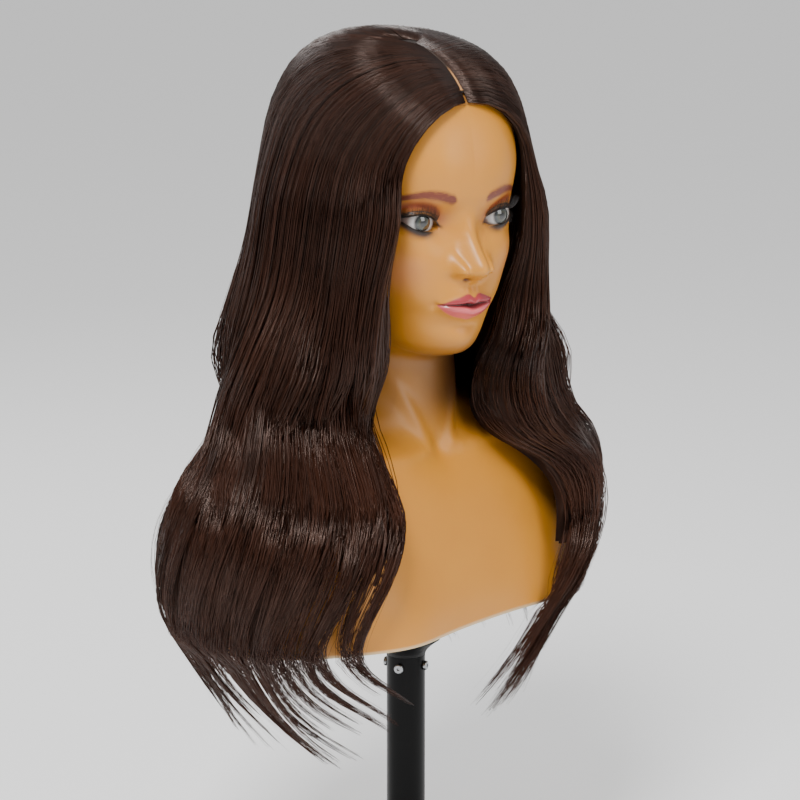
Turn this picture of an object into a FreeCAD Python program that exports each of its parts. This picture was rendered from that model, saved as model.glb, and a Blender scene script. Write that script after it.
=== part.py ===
"""Mannequin training head: a two-part moulded bust with a turned head, inset eyes and a pinned-on
long-hair wig, on a round-based stand with a tubular pole.

Units are millimetres. +Z is up, -Y is the front of the chest, and the mannequin's left is +X.
The origin is the centre of the rubber pad's underside, on the pole's axis.
"""
import FreeCAD
import Part
import math
import os

V = FreeCAD.Vector

# ---------------------------------------------------------------- driving dimensions
# stand
PAD_THICKNESS = 3.0
PAD_INSET = 3.0                 # rubber pad's edge inside the base plate's edge
BASE_RADIUS = 150.0
BASE_THICKNESS = 8.0
BASE_CHAMFER = 2.0
FOOT_FLANGE_RADIUS = 40.0
FOOT_FLANGE_THICKNESS = 5.0
FOOT_BOSS_RADIUS = 20.0
FOOT_BOSS_HEIGHT = 32.0
FLANGE_SCREW_RADIUS = 3.0
FLANGE_SCREW_HEAD_RADIUS = 5.5
FLANGE_SCREW_HEAD_HEIGHT = 3.0
FLANGE_SCREW_CIRCLE_RADIUS = 30.0
GRUB_RADIUS = 2.5
POLE_RADIUS = 15.0
POLE_WALL = 1.5
POLE_TOP_DROP = 44.0            # pole top below the bust's lower edge
LOCK_SCREW_COUNT = 4
LOCK_SCREW_RADIUS = 2.0
LOCK_SCREW_HEAD_RADIUS = 3.7
LOCK_SCREW_HEAD_HEIGHT = 2.2
LOCK_SCREW_DROP = 8.0           # screw axis below the pole's top
LOCK_SCREW_PHASE = 20.0         # degrees, first screw from +X
# spigot and hub
SPIGOT_CLEARANCE = 0.05
SPIGOT_WALL = 2.0
SPIGOT_ENGAGED = 150.0          # length inside the pole at rest
SPIGOT_IN_HUB = 34.0
HUB_FLARE_RADIUS = 27.0
HUB_FLARE_HEIGHT = 13.0
HUB_FLANGE_RADIUS = 48.0
HUB_FLANGE_THICKNESS = 5.0
HUB_SCREW_RADIUS = 2.2
HUB_SCREW_HEAD_RADIUS = 4.2
HUB_SCREW_HEAD_HEIGHT = 2.4
HUB_SCREW_LENGTH = 14.0
HUB_SCREW_CIRCLE_RADIUS = 38.0
HUB_SCREW_COUNT = 4
# bust
BUST_BOTTOM = 250.0             # lower edge of the bust above the floor
SHELL_WALL = 3.0
BOARD_RECESS = 6.0
BOARD_THICKNESS = 12.0
BOARD_GAP = 1.2                 # board to shell
CLEAT_SIZE = 22.0
CLEAT_HEIGHT = 16.0
CLEAT_GAP = 1.0
CLEAT_CORNER_ROOM = 1.5
CLEAT_AZIMUTHS = (25.0, 75.0, 115.0, 155.0)   # each on both sides, from the front
CLEAT_SCREW_RADIUS = 1.8
CLEAT_SCREW_HEAD_RADIUS = 3.6
CLEAT_SCREW_HEAD_HEIGHT = 2.0
CLEAT_SCREW_BITE = 10.0
# eyes, in the head's own frame: sideways, forward and above the chin
EYE_RADIUS = 12.0
EYE_SPREAD = 33.7
EYE_FORWARD = 69.3
EYE_HEIGHT = 102.5
EYE_SEAT_GAP = 0.3
EYE_OPENING_HALF_WIDTH = 15.0
EYE_OPENING_UP = 5.6
EYE_OPENING_DOWN = 4.2
EYE_DOME_DEPTH = 9.0
EAR_REACH = 12.0
EAR_AZIMUTH = 104.0
EAR_HEIGHT = 88.0
LASH_REACH = 8.0
LASH_THICKNESS = 0.5
LASH_GAP = 1.4
# wig
CAP_GAP = 1.6                   # cap's inside to the scalp
CAP_THICKNESS = 0.8
COMB_THICKNESS = 1.0
COMB_LENGTH = 32.0
COMB_HEIGHT = 14.0
COMB_TOOTH_GAPS = 9
COMB_TOOTH_GAP_WIDTH = 1.4
WEFT_ROWS = 5
WEFT_HEIGHT = 3.0
WEFT_THICKNESS = 0.8
LACE_WIDTH = 7.0
PART_STRIP_WIDTH = 9.0
HAIR_ON_CAP_GAP = 1.2
HAIR_CLEARANCE = 2.5            # hanging hair to the head and bust
SECTOR_GAP = 0.6
CROWN_HAIR = 15.0               # combed hair's depth over the front of the scalp
CROWN_HAIR_BACK = 24.0          # and over its back
CROWN_HAIR_NAPE = 27.0          # and at the back hairline
CROWN_HAIR_FRONT_SHARE = 0.45   # share of that depth at the front hairline
FRONT_FULLNESS = 22.0           # hanging hair's outside beyond the head's own reach, in front
BACK_FULLNESS = 34.0            # and behind
NECK_FLARE = 18.0               # more fullness behind, below this height above the lower edge:
NECK_FLARE_TOP = 270.0
SHOULDER_HAIR = 13.0            # hair's depth on the shoulders
SHOULDER_TOP = 128.0            # above the lower edge
CURTAIN_WALL = 15.0
HAIR_DROP = 98.0                # longest tips below the lower edge
TIP_DRAW_IN = 16.0
CURTAIN_TOP_BELOW_HAIRLINE = 9.0

CHIN_ABOVE_EDGE = 207.0
RING_SPACING = 17.0             # usual height between the head's rings
HEAD_TURN = 16.0                # degrees, head turned to its right
HEAD_NOD = 4.5                  # degrees, head nodded forwards
NOD_CENTRE_HEIGHT = 297.0       # above the bust's lower edge
HEAD_SHIFT = (-2.3, -2.5, 2.7)  # head's place sideways, forwards and upwards of the neck's axis
BUST_SIDESTEP = -8.0            # chest's middle, sideways of the neck's axis

# ---------------------------------------------------------------- skin surface
# Rings from the crown down to the bust's lower edge. Each ring: height above the lower edge at the
# front, side and back; reach forward, half width and reach backward from the ring's own centre; the
# front and back section exponents; the centre's place forward of the pole; the share of HEAD_TURN.
RINGS = (
    (425.0, 425.0, 425.0, 0.0, 0.0, 0.0, 2.0, 2.0, -8.0, 1.0),
    (423.6, 423.6, 423.6, 24.0, 24.0, 27.0, 2.0, 2.0, -7.0, 1.0),
    (419.0, 419.0, 419.0, 43.0, 40.0, 46.0, 2.0, 2.0, -6.0, 1.0),
    (411.0, 411.0, 411.0, 60.5, 54.0, 64.0, 2.0, 2.0, -5.0, 1.0),
    (399.0, 399.0, 399.0, 75.0, 64.5, 77.0, 2.1, 2.0, -4.0, 1.0),
    (383.0, 383.0, 383.0, 85.5, 70.5, 86.0, 2.2, 2.0, -3.0, 1.0),
    (365.0, 365.0, 365.0, 91.5, 73.2, 90.5, 2.25, 2.05, -2.0, 1.0),
    (347.0, 347.0, 347.0, 93.0, 73.6, 92.0, 2.3, 2.1, 0.0, 1.0),
    (331.0, 331.0, 331.0, 90.5, 72.5, 90.0, 2.25, 2.1, 2.0, 1.0),
    (315.0, 315.0, 315.0, 83.5, 71.5, 86.0, 2.25, 2.1, 4.0, 1.0),
    (299.0, 300.0, 300.0, 83.0, 70.5, 79.0, 2.25, 2.1, 5.0, 1.0),
    (283.0, 287.0, 286.0, 86.0, 69.0, 73.0, 2.25, 2.1, 6.0, 1.0),
    (267.0, 275.0, 274.0, 88.0, 66.0, 67.5, 2.15, 2.1, 6.0, 1.0),
    (251.0, 265.0, 262.0, 89.5, 62.0, 63.0, 2.05, 2.1, 5.0, 1.0),
    (237.0, 256.0, 251.0, 87.0, 58.0, 59.0, 1.98, 2.1, 3.0, 1.0),
    (221.0, 246.0, 240.0, 87.5, 54.5, 55.0, 1.85, 2.1, 0.0, 1.0),
    (211.0, 238.0, 231.0, 83.5, 52.0, 52.5, 1.85, 2.1, -2.0, 1.0),
    (205.0, 230.0, 222.0, 73.0, 50.0, 50.0, 1.9, 2.1, -4.0, 0.93),
    (201.0, 220.0, 212.0, 58.0, 49.0, 47.5, 2.0, 2.1, -6.0, 0.86),
    (193.0, 206.0, 202.0, 48.0, 48.5, 46.5, 2.0, 2.1, -7.0, 0.72),
    (174.0, 186.0, 184.0, 46.0, 48.5, 46.5, 2.0, 2.1, -8.0, 0.48),
    (152.0, 170.0, 167.0, 46.5, 53.0, 50.0, 2.0, 2.1, -9.0, 0.2),
    (138.0, 161.0, 155.0, 48.0, 67.0, 56.0, 2.0, 2.1, -10.0, 0.07),
    (129.0, 154.0, 144.0, 50.5, 90.0, 62.0, 2.0, 2.2, -11.0, 0.0),
    (121.0, 147.0, 134.0, 53.5, 118.0, 68.0, 2.1, 2.3, -11.0, 0.0),
    (114.0, 138.0, 122.0, 57.5, 143.0, 76.0, 2.3, 2.4, -10.0, 0.0),
    (106.0, 125.0, 107.0, 62.0, 163.0, 85.0, 2.5, 2.5, -9.0, 0.0),
    (94.0, 106.0, 90.0, 68.0, 178.0, 94.0, 2.6, 2.6, -8.0, 0.0),
    (78.0, 83.0, 72.0, 74.0, 186.0, 102.0, 2.6, 2.6, -7.0, 0.0),
    (60.0, 59.0, 53.0, 80.0, 189.0, 106.0, 2.6, 2.6, -7.0, 0.0),
    (40.0, 38.0, 35.0, 87.0, 189.0, 104.0, 2.5, 2.6, -9.0, 0.0),
    (19.0, 18.0, 17.0, 94.0, 187.0, 97.0, 2.4, 2.6, -12.0, 0.0),
    (0.0, 0.0, 0.0, 98.0, 184.0, 88.0, 2.4, 2.6, -15.0, 0.0),
)
LAST_RING = len(RINGS) - 1
TURN_CENTRE_FORWARD = -8.0


def ring_at(t):
    """Ring values at place t along the stack, by a Catmull-Rom spline through the rings."""
    i = min(int(t), LAST_RING - 1)
    s = t - i
    a, b = RINGS[max(i - 1, 0)], RINGS[i]
    c, d = RINGS[i + 1], RINGS[min(i + 2, LAST_RING)]
    if i == 0:                       # the crown: widths grow as a dome, so that the top is round
        s_width = math.sqrt(s)
        return [b[k] + (c[k] - b[k]) * (s_width if 3 <= k <= 5 else s) for k in range(10)]
    out = []
    for p, q, r, u in zip(a, b, c, d):
        m0, m1 = (r - p) / 2, (u - q) / 2
        rise = s * s * (3 * (r - q) - 2 * m0 - m1) + s ** 3 * (2 * (q - r) + m0 + m1)
        out.append(q + s * m0 + rise)
    return out


def smooth(s):
    """A soft step from 0 to 1 as s goes from 0 to 1."""
    s = min(1.0, max(0.0, s))
    return s * s * (3 - 2 * s)


def bump(value, centre, half_width):
    """A smooth hill: 1 at the centre and near 0 two half widths away."""
    return math.exp(-((value - centre) / half_width) ** 2)


def face_relief(side, height):
    """How far the nose, lips, chin and breasts stand forward of the plain rings."""
    above_chin = height - CHIN_ABOVE_EDGE
    out = 0.0
    if above_chin > 50:
        bridge = min(1.0, max(0.0, (112 - above_chin) / 40.0))
        tip = bump(above_chin, 73, 8) * bump(side, 0, 10)
        slope = bridge * (1 if above_chin > 73 else bump(above_chin, 73, 7))
        out += 12.0 * slope * bump(side, 0, 8) + 8.0 * tip
    out += 6.5 * bump(above_chin, 43, 9) * bump(side, 0, 21)
    out += 3.0 * bump(above_chin, 12, 9) * bump(side, 0, 16)
    out -= 5.0 * bump(above_chin, EYE_HEIGHT, 9) * (bump(side, 24, 10) + bump(side, -24, 10))
    out += 15.0 * bump(height, 0, 60) * (bump(side, 95, 42) + bump(side, -95, 42))
    return out


def ear_relief(azimuth, height):
    """How far the ear stands out from the side of the head."""
    around_head = abs((azimuth + 180) % 360 - 180)
    lean = 0.25 * (height - CHIN_ABOVE_EDGE - EAR_HEIGHT)
    return EAR_REACH * bump(around_head, EAR_AZIMUTH + lean, 10) * bump(
        height, CHIN_ABOVE_EDGE + EAR_HEIGHT, 21)


def posed(side, forward, height, share):
    """A head point nodded and turned about the neck, as a point of the whole object."""
    nod, turn = math.radians(HEAD_NOD * share), math.radians(HEAD_TURN * share)
    f, h = forward - TURN_CENTRE_FORWARD, height - NOD_CENTRE_HEIGHT
    f, h = f * math.cos(nod) + h * math.sin(nod), h * math.cos(nod) - f * math.sin(nod)
    x = side * math.cos(turn) - f * math.sin(turn) + BUST_SIDESTEP * (1 - share) ** 4
    y = -(side * math.sin(turn) + f * math.cos(turn) + TURN_CENTRE_FORWARD)
    shift = V(HEAD_SHIFT[0], -HEAD_SHIFT[1], HEAD_SHIFT[2])
    return V(x, y, BUST_BOTTOM + NOD_CENTRE_HEIGHT + h) + shift * share


def skin(azimuth, t):
    """A point of the outer skin. Azimuth is in degrees from the face's front, + to the left."""
    zf, zs, zb, front, width, back, nf, nb, centre, share = ring_at(t)
    a = math.radians(azimuth)
    s, c = math.sin(a), math.cos(a)
    reach, n, z_end = (front, nf, zf) if c >= 0 else (back, nb, zb)
    z = z_end * c * c + zs * s * s
    if width < 1e-6:
        r = 0.0
    else:
        r = (abs(s / width) ** n + abs(c / reach) ** n) ** (-1.0 / n)
    r += ear_relief(azimuth, z)
    side, forward = r * s, centre + r * c
    if c > 0:
        forward += face_relief(side, z) * c
    return posed(side, forward, z, share)


def inset(azimuth, t, depth):
    """The skin point moved inwards along the surface's normal (outwards if depth is negative)."""
    step_a, step_t = 0.6, 0.05
    t0, t1 = max(t - step_t, 0.02), min(max(t, 0.02) + step_t, LAST_RING)
    along_u = skin(azimuth + step_a, max(t, 0.03)) - skin(azimuth - step_a, max(t, 0.03))
    along_v = skin(azimuth, t1) - skin(azimuth, t0)
    normal = along_u.cross(along_v)
    if t < 0.03 or normal.Length < 1e-9:
        normal = V(0, 0, -1)
    normal.normalize()
    return skin(azimuth, t) + normal * depth


# ---------------------------------------------------------------- surfaces and solids
def clamped_knots(count, degree):
    inner = count - degree
    return [float(k) for k in range(inner + 1)], [degree + 1] + [1] * (inner - 1) + [degree + 1]


def sharpened(line):
    """Control points moved outwards by a sixth of the bend, so that the curve meets the points."""
    out = list(line)
    for i in range(1, len(line) - 1):
        out[i] = line[i] - (line[i - 1] - line[i] * 2 + line[i + 1]) * (1 / 6.0)
    return out


def spline_face(grid):
    """A B-spline face that passes close to the points of a grid."""
    if len(grid) > 3:
        columns = [sharpened(c) for c in zip(*grid)]
        grid = [list(row) for row in zip(*columns)]
    if len(grid[0]) > 3:
        grid = [sharpened(row) for row in grid]
    degree_u, degree_v = min(3, len(grid) - 1), min(3, len(grid[0]) - 1)
    u_knots, u_mults = clamped_knots(len(grid), degree_u)
    v_knots, v_mults = clamped_knots(len(grid[0]), degree_v)
    surface = Part.BSplineSurface()
    surface.buildFromPolesMultsKnots(
        grid, u_mults, v_mults, u_knots, v_knots, False, False, degree_u, degree_v
    )
    return surface.toShape()


def spread(row):
    return max((p - row[0]).Length for p in row)


def thick_patch(outer, inner):
    """A closed solid between two grids of points of the same size."""
    faces = [spline_face(outer), spline_face(inner)]
    borders = (
        (outer[0], inner[0]),
        (outer[-1], inner[-1]),
        ([c[0] for c in outer], [c[0] for c in inner]),
        ([c[-1] for c in outer], [c[-1] for c in inner]),
    )
    for a, b in borders:
        if spread(a) > 1e-6 or spread(b) > 1e-6:
            faces.append(spline_face([a, b]))
    joined = Part.Compound(faces)
    joined.sewShape(1e-4)
    solid = Part.Solid(joined.Shells[0])
    if solid.Volume < 0:
        solid.reverse()
    return solid


def steps(start, stop, count):
    return [start + (stop - start) * i / (count - 1) for i in range(count)]


def cylinder(radius, height, base, axis=V(0, 0, 1)):
    return Part.makeCylinder(radius, height, base, axis)


def around(count, radius, phase=0.0):
    """Points on a circle about the pole's axis, each with its outward direction."""
    for i in range(count):
        a = math.radians(phase + 360.0 * i / count)
        yield V(radius * math.cos(a), radius * math.sin(a), 0), V(math.cos(a), math.sin(a), 0)


def turn_profile(points):
    """A solid of revolution about the pole's axis from (radius, height) points."""
    wire = Part.makePolygon([V(r, 0, z) for r, z in points] + [V(points[0][0], 0, points[0][1])])
    return Part.Face(wire).revolve(V(0, 0, 0), V(0, 0, 1), 360)


made = {}


def keep(name, shape):
    made[name] = shape


# ---------------------------------------------------------------- stand
BASE_BOTTOM = PAD_THICKNESS
BASE_TOP = BASE_BOTTOM + BASE_THICKNESS
POLE_TOP = BUST_BOTTOM - POLE_TOP_DROP
POLE_BORE = POLE_RADIUS - POLE_WALL
SCREW_CLEARANCE = 0.1


def stand():
    keep("rubber_pad", cylinder(BASE_RADIUS - PAD_INSET, PAD_THICKNESS, V(0, 0, 0)))

    plate = turn_profile((
        (0, BASE_BOTTOM),
        (BASE_RADIUS, BASE_BOTTOM),
        (BASE_RADIUS, BASE_TOP - BASE_CHAMFER),
        (BASE_RADIUS - BASE_CHAMFER, BASE_TOP),
        (0, BASE_TOP),
    ))
    flange_top = BASE_TOP + FOOT_FLANGE_THICKNESS
    flange = turn_profile((
        (POLE_RADIUS, BASE_TOP),
        (FOOT_FLANGE_RADIUS, BASE_TOP),
        (FOOT_FLANGE_RADIUS, flange_top - 1),
        (FOOT_FLANGE_RADIUS - 1, flange_top),
        (FOOT_BOSS_RADIUS + 2, flange_top),
        (FOOT_BOSS_RADIUS, flange_top + 2),
        (FOOT_BOSS_RADIUS, BASE_TOP + FOOT_BOSS_HEIGHT - 1),
        (FOOT_BOSS_RADIUS - 1, BASE_TOP + FOOT_BOSS_HEIGHT),
        (POLE_RADIUS, BASE_TOP + FOOT_BOSS_HEIGHT),
    ))
    screws = []
    for p, _ in around(3, FLANGE_SCREW_CIRCLE_RADIUS, 90):
        depth = BASE_THICKNESS - 1.5
        hole = cylinder(FLANGE_SCREW_RADIUS + SCREW_CLEARANCE, depth + 20, p + V(0, 0, BASE_TOP - depth))
        plate = plate.cut(hole)
        flange = flange.cut(hole)
        shank = cylinder(FLANGE_SCREW_RADIUS, depth + FOOT_FLANGE_THICKNESS - 0.5,
                         p + V(0, 0, BASE_TOP - depth + 0.5))
        head = cylinder(FLANGE_SCREW_HEAD_RADIUS, FLANGE_SCREW_HEAD_HEIGHT, p + V(0, 0, flange_top))
        socket = cylinder(FLANGE_SCREW_RADIUS * 0.6, 2, p + V(0, 0, flange_top + 1.2))
        screws.append(shank.fuse(head).cut(socket))
    keep("base_plate", plate)
    keep("foot_flange_screws", Part.Compound(screws))

    grub_height = BASE_TOP + FOOT_BOSS_HEIGHT - 9
    grub_base = V(0, POLE_RADIUS + 0.05, grub_height)
    grub_length = FOOT_BOSS_RADIUS - POLE_RADIUS + 1.0
    flange = flange.cut(cylinder(GRUB_RADIUS + SCREW_CLEARANCE, 12, V(0, POLE_RADIUS - 1, grub_height),
                                 V(0, 1, 0)))
    grub = cylinder(GRUB_RADIUS, grub_length, grub_base, V(0, 1, 0))
    grub = grub.cut(cylinder(GRUB_RADIUS * 0.5, 2, grub_base + V(0, grub_length - 1.5, 0), V(0, 1, 0)))
    keep("foot_flange", flange)
    keep("foot_grub_screw", grub)

    pole = turn_profile((
        (POLE_BORE, BASE_TOP), (POLE_RADIUS, BASE_TOP), (POLE_RADIUS, POLE_TOP), (POLE_BORE, POLE_TOP),
    ))
    locks = []
    tip = POLE_BORE - SPIGOT_CLEARANCE + 0.25
    for _, out in around(LOCK_SCREW_COUNT, 1.0, LOCK_SCREW_PHASE):
        height = V(0, 0, POLE_TOP - LOCK_SCREW_DROP)
        hole_start = out * (POLE_BORE - 2) + height
        head_start = out * (POLE_RADIUS + 0.45) + height
        pole = pole.cut(cylinder(LOCK_SCREW_RADIUS + SCREW_CLEARANCE, 8, hole_start, out))
        shank = cylinder(LOCK_SCREW_RADIUS, POLE_RADIUS + 0.5 - tip, out * tip + height, out)
        head = cylinder(LOCK_SCREW_HEAD_RADIUS, LOCK_SCREW_HEAD_HEIGHT, head_start, out)
        top_edge = [e for e in head.Edges if e.Curve.TypeId == "Part::GeomCircle"
                    and (e.Curve.Center - height).Length > POLE_RADIUS + 1]
        head = head.makeFillet(LOCK_SCREW_HEAD_HEIGHT * 0.45, top_edge)
        socket = cylinder(1.3, 2, out * (POLE_RADIUS + LOCK_SCREW_HEAD_HEIGHT - 0.9) + height, out)
        locks.append(shank.fuse(head).cut(socket))
    keep("pole_tube", pole)
    keep("lock_screws", Part.Compound(locks))


# ---------------------------------------------------------------- spigot and hub
BOARD_BOTTOM = BUST_BOTTOM + BOARD_RECESS
BOARD_TOP = BOARD_BOTTOM + BOARD_THICKNESS
SPIGOT_RADIUS = POLE_BORE - SPIGOT_CLEARANCE


def spigot_and_hub():
    top = POLE_TOP + SPIGOT_IN_HUB
    keep("spigot_tube", turn_profile((
        (SPIGOT_RADIUS - SPIGOT_WALL, POLE_TOP - SPIGOT_ENGAGED),
        (SPIGOT_RADIUS, POLE_TOP - SPIGOT_ENGAGED),
        (SPIGOT_RADIUS, top),
        (SPIGOT_RADIUS - SPIGOT_WALL, top),
    )))
    flare = [
        (POLE_RADIUS + (HUB_FLARE_RADIUS - POLE_RADIUS) * s ** 1.6, POLE_TOP + 0.3 + HUB_FLARE_HEIGHT * s)
        for s in steps(0, 1, 6)
    ]
    flange_bottom = BOARD_BOTTOM - HUB_FLANGE_THICKNESS
    hub = turn_profile(
        [(POLE_BORE, POLE_TOP + 0.3)] + flare + [
            (HUB_FLARE_RADIUS, flange_bottom - 2),
            (HUB_FLARE_RADIUS + 2, flange_bottom),
            (HUB_FLANGE_RADIUS - 1, flange_bottom),
            (HUB_FLANGE_RADIUS, flange_bottom + 1),
            (HUB_FLANGE_RADIUS, BOARD_BOTTOM),
            (0, BOARD_BOTTOM),
            (0, top + 0.5),
            (POLE_BORE, top + 0.5),
        ]
    )
    screws = []
    board_holes = []
    for p, _ in around(HUB_SCREW_COUNT, HUB_SCREW_CIRCLE_RADIUS, 45):
        base = p + V(0, 0, flange_bottom - HUB_SCREW_HEAD_HEIGHT)
        hub = hub.cut(cylinder(HUB_SCREW_RADIUS + SCREW_CLEARANCE, 30, base))
        shank = cylinder(HUB_SCREW_RADIUS, HUB_SCREW_LENGTH, base)
        head = cylinder(HUB_SCREW_HEAD_RADIUS, HUB_SCREW_HEAD_HEIGHT - 0.05, base)
        socket = cylinder(HUB_SCREW_RADIUS * 0.7, 1.2, base)
        screws.append(shank.fuse(head).cut(socket))
        board_holes.append(cylinder(HUB_SCREW_RADIUS + SCREW_CLEARANCE,
                                    HUB_SCREW_LENGTH - HUB_FLANGE_THICKNESS - HUB_SCREW_HEAD_HEIGHT + 0.5,
                                    p + V(0, 0, BOARD_BOTTOM)))
    keep("hub_flange", hub)
    keep("hub_screws", Part.Compound(screws))
    return board_holes


# ---------------------------------------------------------------- shells, board, eyes
FRONT_AZIMUTHS = (
    [-90, -82, -74, -66, -58, -50, -43, -37, -31.5, -26.5, -22, -18, -14, -10.5, -7.5, -5, -2.5, 0]
    + [2.5, 5, 7.5, 10.5, 14, 18, 22, 26.5, 31.5, 37, 43, 50, 58, 66, 74, 82, 90]
)
BACK_AZIMUTHS = (
    [90, 94, 98, 102, 106, 110, 115, 121, 128, 136, 145, 155, 167, 180]
    + [193, 205, 215, 224, 232, 239, 245, 250, 254, 258, 262, 266, 270]
)


def ring_steps():
    """Places along the ring stack: dense at the crown and over the face."""
    out = [0.0, 0.15, 0.5, 1.0]
    t = 1.0
    while t < LAST_RING - 0.01:
        t += 0.34 if 7 <= t < 18 else 0.5
        out.append(min(t, float(LAST_RING)))
    if out[-1] < LAST_RING:
        out.append(float(LAST_RING))
    return out


def half_shell(azimuths):
    rows = ring_steps()
    outer = [[skin(a, t) for t in rows] for a in azimuths]
    inner = []
    for column, a in zip(outer, azimuths):
        line = [inset(a, t, SHELL_WALL) for t in rows]
        line[0] = column[0] - V(0, 0, SHELL_WALL)
        line[-1] = V(line[-1].x, line[-1].y, BUST_BOTTOM)
        inner.append(line)
    return thick_patch(outer, inner)


def head_place(side, forward, above_chin):
    """A point given in the turned head's own frame."""
    return posed(side, forward, CHIN_ABOVE_EDGE + above_chin, 1.0)


HEAD_FORWARD = head_place(0, 1, 0) - head_place(0, 0, 0)
HEAD_LEFT = head_place(1, 0, 0) - head_place(0, 0, 0)
HEAD_UP = head_place(0, 0, 1) - head_place(0, 0, 0)


def eye_and_lash(hand):
    """The dome of one eye, the cutter for its opening and its upper lash strip."""
    centre = head_place(hand * EYE_SPREAD, EYE_FORWARD, EYE_HEIGHT)
    ball = Part.makeSphere(EYE_RADIUS, centre)
    keep_box = Part.makeBox(60, EYE_DOME_DEPTH, 60, V(-30, -EYE_RADIUS - 1, -30))
    keep_box.Placement = FreeCAD.Placement(centre, FreeCAD.Rotation(V(0, -1, 0), HEAD_FORWARD))
    dome = ball.common(keep_box)
    seat = Part.makeSphere(EYE_RADIUS + EYE_SEAT_GAP, centre)

    corners = [
        centre - HEAD_LEFT * EYE_OPENING_HALF_WIDTH,
        centre + HEAD_LEFT * EYE_OPENING_HALF_WIDTH,
    ]
    up = Part.Arc(corners[0], centre + HEAD_UP * EYE_OPENING_UP, corners[1])
    down = Part.Arc(corners[1], centre - HEAD_UP * EYE_OPENING_DOWN, corners[0])
    opening = Part.Face(Part.Wire([up.toShape(), down.toShape()])).extrude(HEAD_FORWARD * 40)

    lash_rows = []
    for reach in (0.0, 0.5, 1.0):
        row = []
        for s in steps(-1, 1, 9):
            across = hand * EYE_SPREAD + s * (EYE_OPENING_HALF_WIDTH - 2)
            lift = EYE_OPENING_UP * (1 - s * s) + LASH_REACH * 0.35 * reach * reach
            ahead = EYE_FORWARD + EYE_RADIUS + LASH_GAP - 3.0 * s * s + LASH_REACH * reach
            ahead += 3.2 * (1 - abs(s)) ** 0.5
            row.append(head_place(across, ahead, EYE_HEIGHT + lift + 1.0))
        lash_rows.append(row)
    lash = thick_patch([[p + HEAD_UP * LASH_THICKNESS for p in row] for row in lash_rows], lash_rows)
    return dome, seat, opening, lash


def inside_wall(azimuth, low, high, gap):
    """The point of the shell's inside nearest to the middle between two heights, less a gap."""
    found = []
    t = float(LAST_RING)
    while t > LAST_RING - 3:
        p = inset(azimuth, t, SHELL_WALL + gap)
        if low - 2 <= p.z <= high + 2:
            found.append(p)
        t -= 0.1
    return min(found, key=lambda p: math.hypot(p.x - BUST_SIDESTEP, p.y))


def inner_outline(low, high, gap):
    """The closed outline of the shell's inside between two heights, less a gap."""
    points = []
    for a in steps(0, 360, 73)[:-1]:
        p = inside_wall(a, low, high, gap)
        points.append(V(p.x, p.y, high))
    curve = Part.BSplineCurve()
    curve.interpolate(points, PeriodicFlag=True)
    return Part.Wire([curve.toShape()])


def bust(board_holes):
    front = half_shell(FRONT_AZIMUTHS)
    back = half_shell(BACK_AZIMUTHS)
    for hand, name in ((-1, "right"), (1, "left")):
        dome, seat, opening, lash = eye_and_lash(hand)
        front = front.cut(seat).cut(opening)
        keep("eye_" + name, dome)
        keep("upper_lash_" + name, lash)
    front = max(front.Solids, key=lambda s: s.Volume)
    keep("front_shell", front)
    keep("back_shell", back)

    outline = inner_outline(BOARD_BOTTOM, BOARD_TOP, BOARD_GAP)
    board = Part.Face(outline).extrude(V(0, 0, -BOARD_THICKNESS))
    for hole in board_holes:
        board = board.cut(hole)
    cleats, screws = [], []
    for azimuth in [s * a for a in CLEAT_AZIMUTHS for s in (-1, 1)]:
        wall = inside_wall(azimuth, BOARD_BOTTOM, BOARD_TOP + CLEAT_HEIGHT, CLEAT_GAP)
        out = (inset(azimuth, LAST_RING, 0) - inset(azimuth, LAST_RING, 10))
        out = V(out.x, out.y, 0).normalize()
        middle = V(wall.x, wall.y, 0) - out * (CLEAT_SIZE / 2 + CLEAT_CORNER_ROOM)
        turn = FreeCAD.Rotation(V(1, 0, 0), out)
        block = Part.makeBox(CLEAT_SIZE, CLEAT_SIZE, CLEAT_HEIGHT,
                             V(-CLEAT_SIZE / 2, -CLEAT_SIZE / 2, BOARD_TOP))
        block = block.makeFillet(2.0, [e for e in block.Edges if abs(e.tangentAt(e.FirstParameter).z) > 0.9])
        block.Placement = FreeCAD.Placement(middle, turn)
        base = V(middle.x, middle.y, BOARD_BOTTOM - CLEAT_SCREW_HEAD_HEIGHT)
        length = BOARD_THICKNESS + CLEAT_SCREW_HEAD_HEIGHT + CLEAT_SCREW_BITE
        hole = cylinder(CLEAT_SCREW_RADIUS + SCREW_CLEARANCE, length + 0.5, base)
        board = board.cut(hole)
        cleats.append(block.cut(hole))
        shank = cylinder(CLEAT_SCREW_RADIUS, length, base)
        head = cylinder(CLEAT_SCREW_HEAD_RADIUS, CLEAT_SCREW_HEAD_HEIGHT - 0.05, base)
        screws.append(shank.fuse(head).cut(cylinder(CLEAT_SCREW_RADIUS * 0.7, 1.0, base)))
    keep("base_board", board)
    keep("board_cleats", Part.Compound(cleats))
    keep("board_screws", Part.Compound(screws))


# ---------------------------------------------------------------- wig
HAIRLINE = (                    # azimuth from the face's front, height above the chin
    (0, 192), (20, 190), (35, 181), (48, 162), (60, 142), (75, 127),
    (90, 121), (105, 114), (120, 98), (140, 84), (160, 78), (180, 76),
)


def piecewise(table, x):
    """A straight-line table lookup, eased between its entries."""
    for (x0, y0), (x1, y1) in zip(table, table[1:]):
        if x <= x1:
            s = min(1.0, max(0.0, (x - x0) / (x1 - x0)))
            return y0 + (y1 - y0) * s
    return table[-1][1]


def ring_of_height(above_chin):
    """The ring place whose front height is a given height above the chin."""
    z = above_chin + CHIN_ABOVE_EDGE
    for i in range(LAST_RING):
        if RINGS[i][0] >= z >= RINGS[i + 1][0]:
            return i + (RINGS[i][0] - z) / (RINGS[i][0] - RINGS[i + 1][0])
    return float(LAST_RING)


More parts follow.
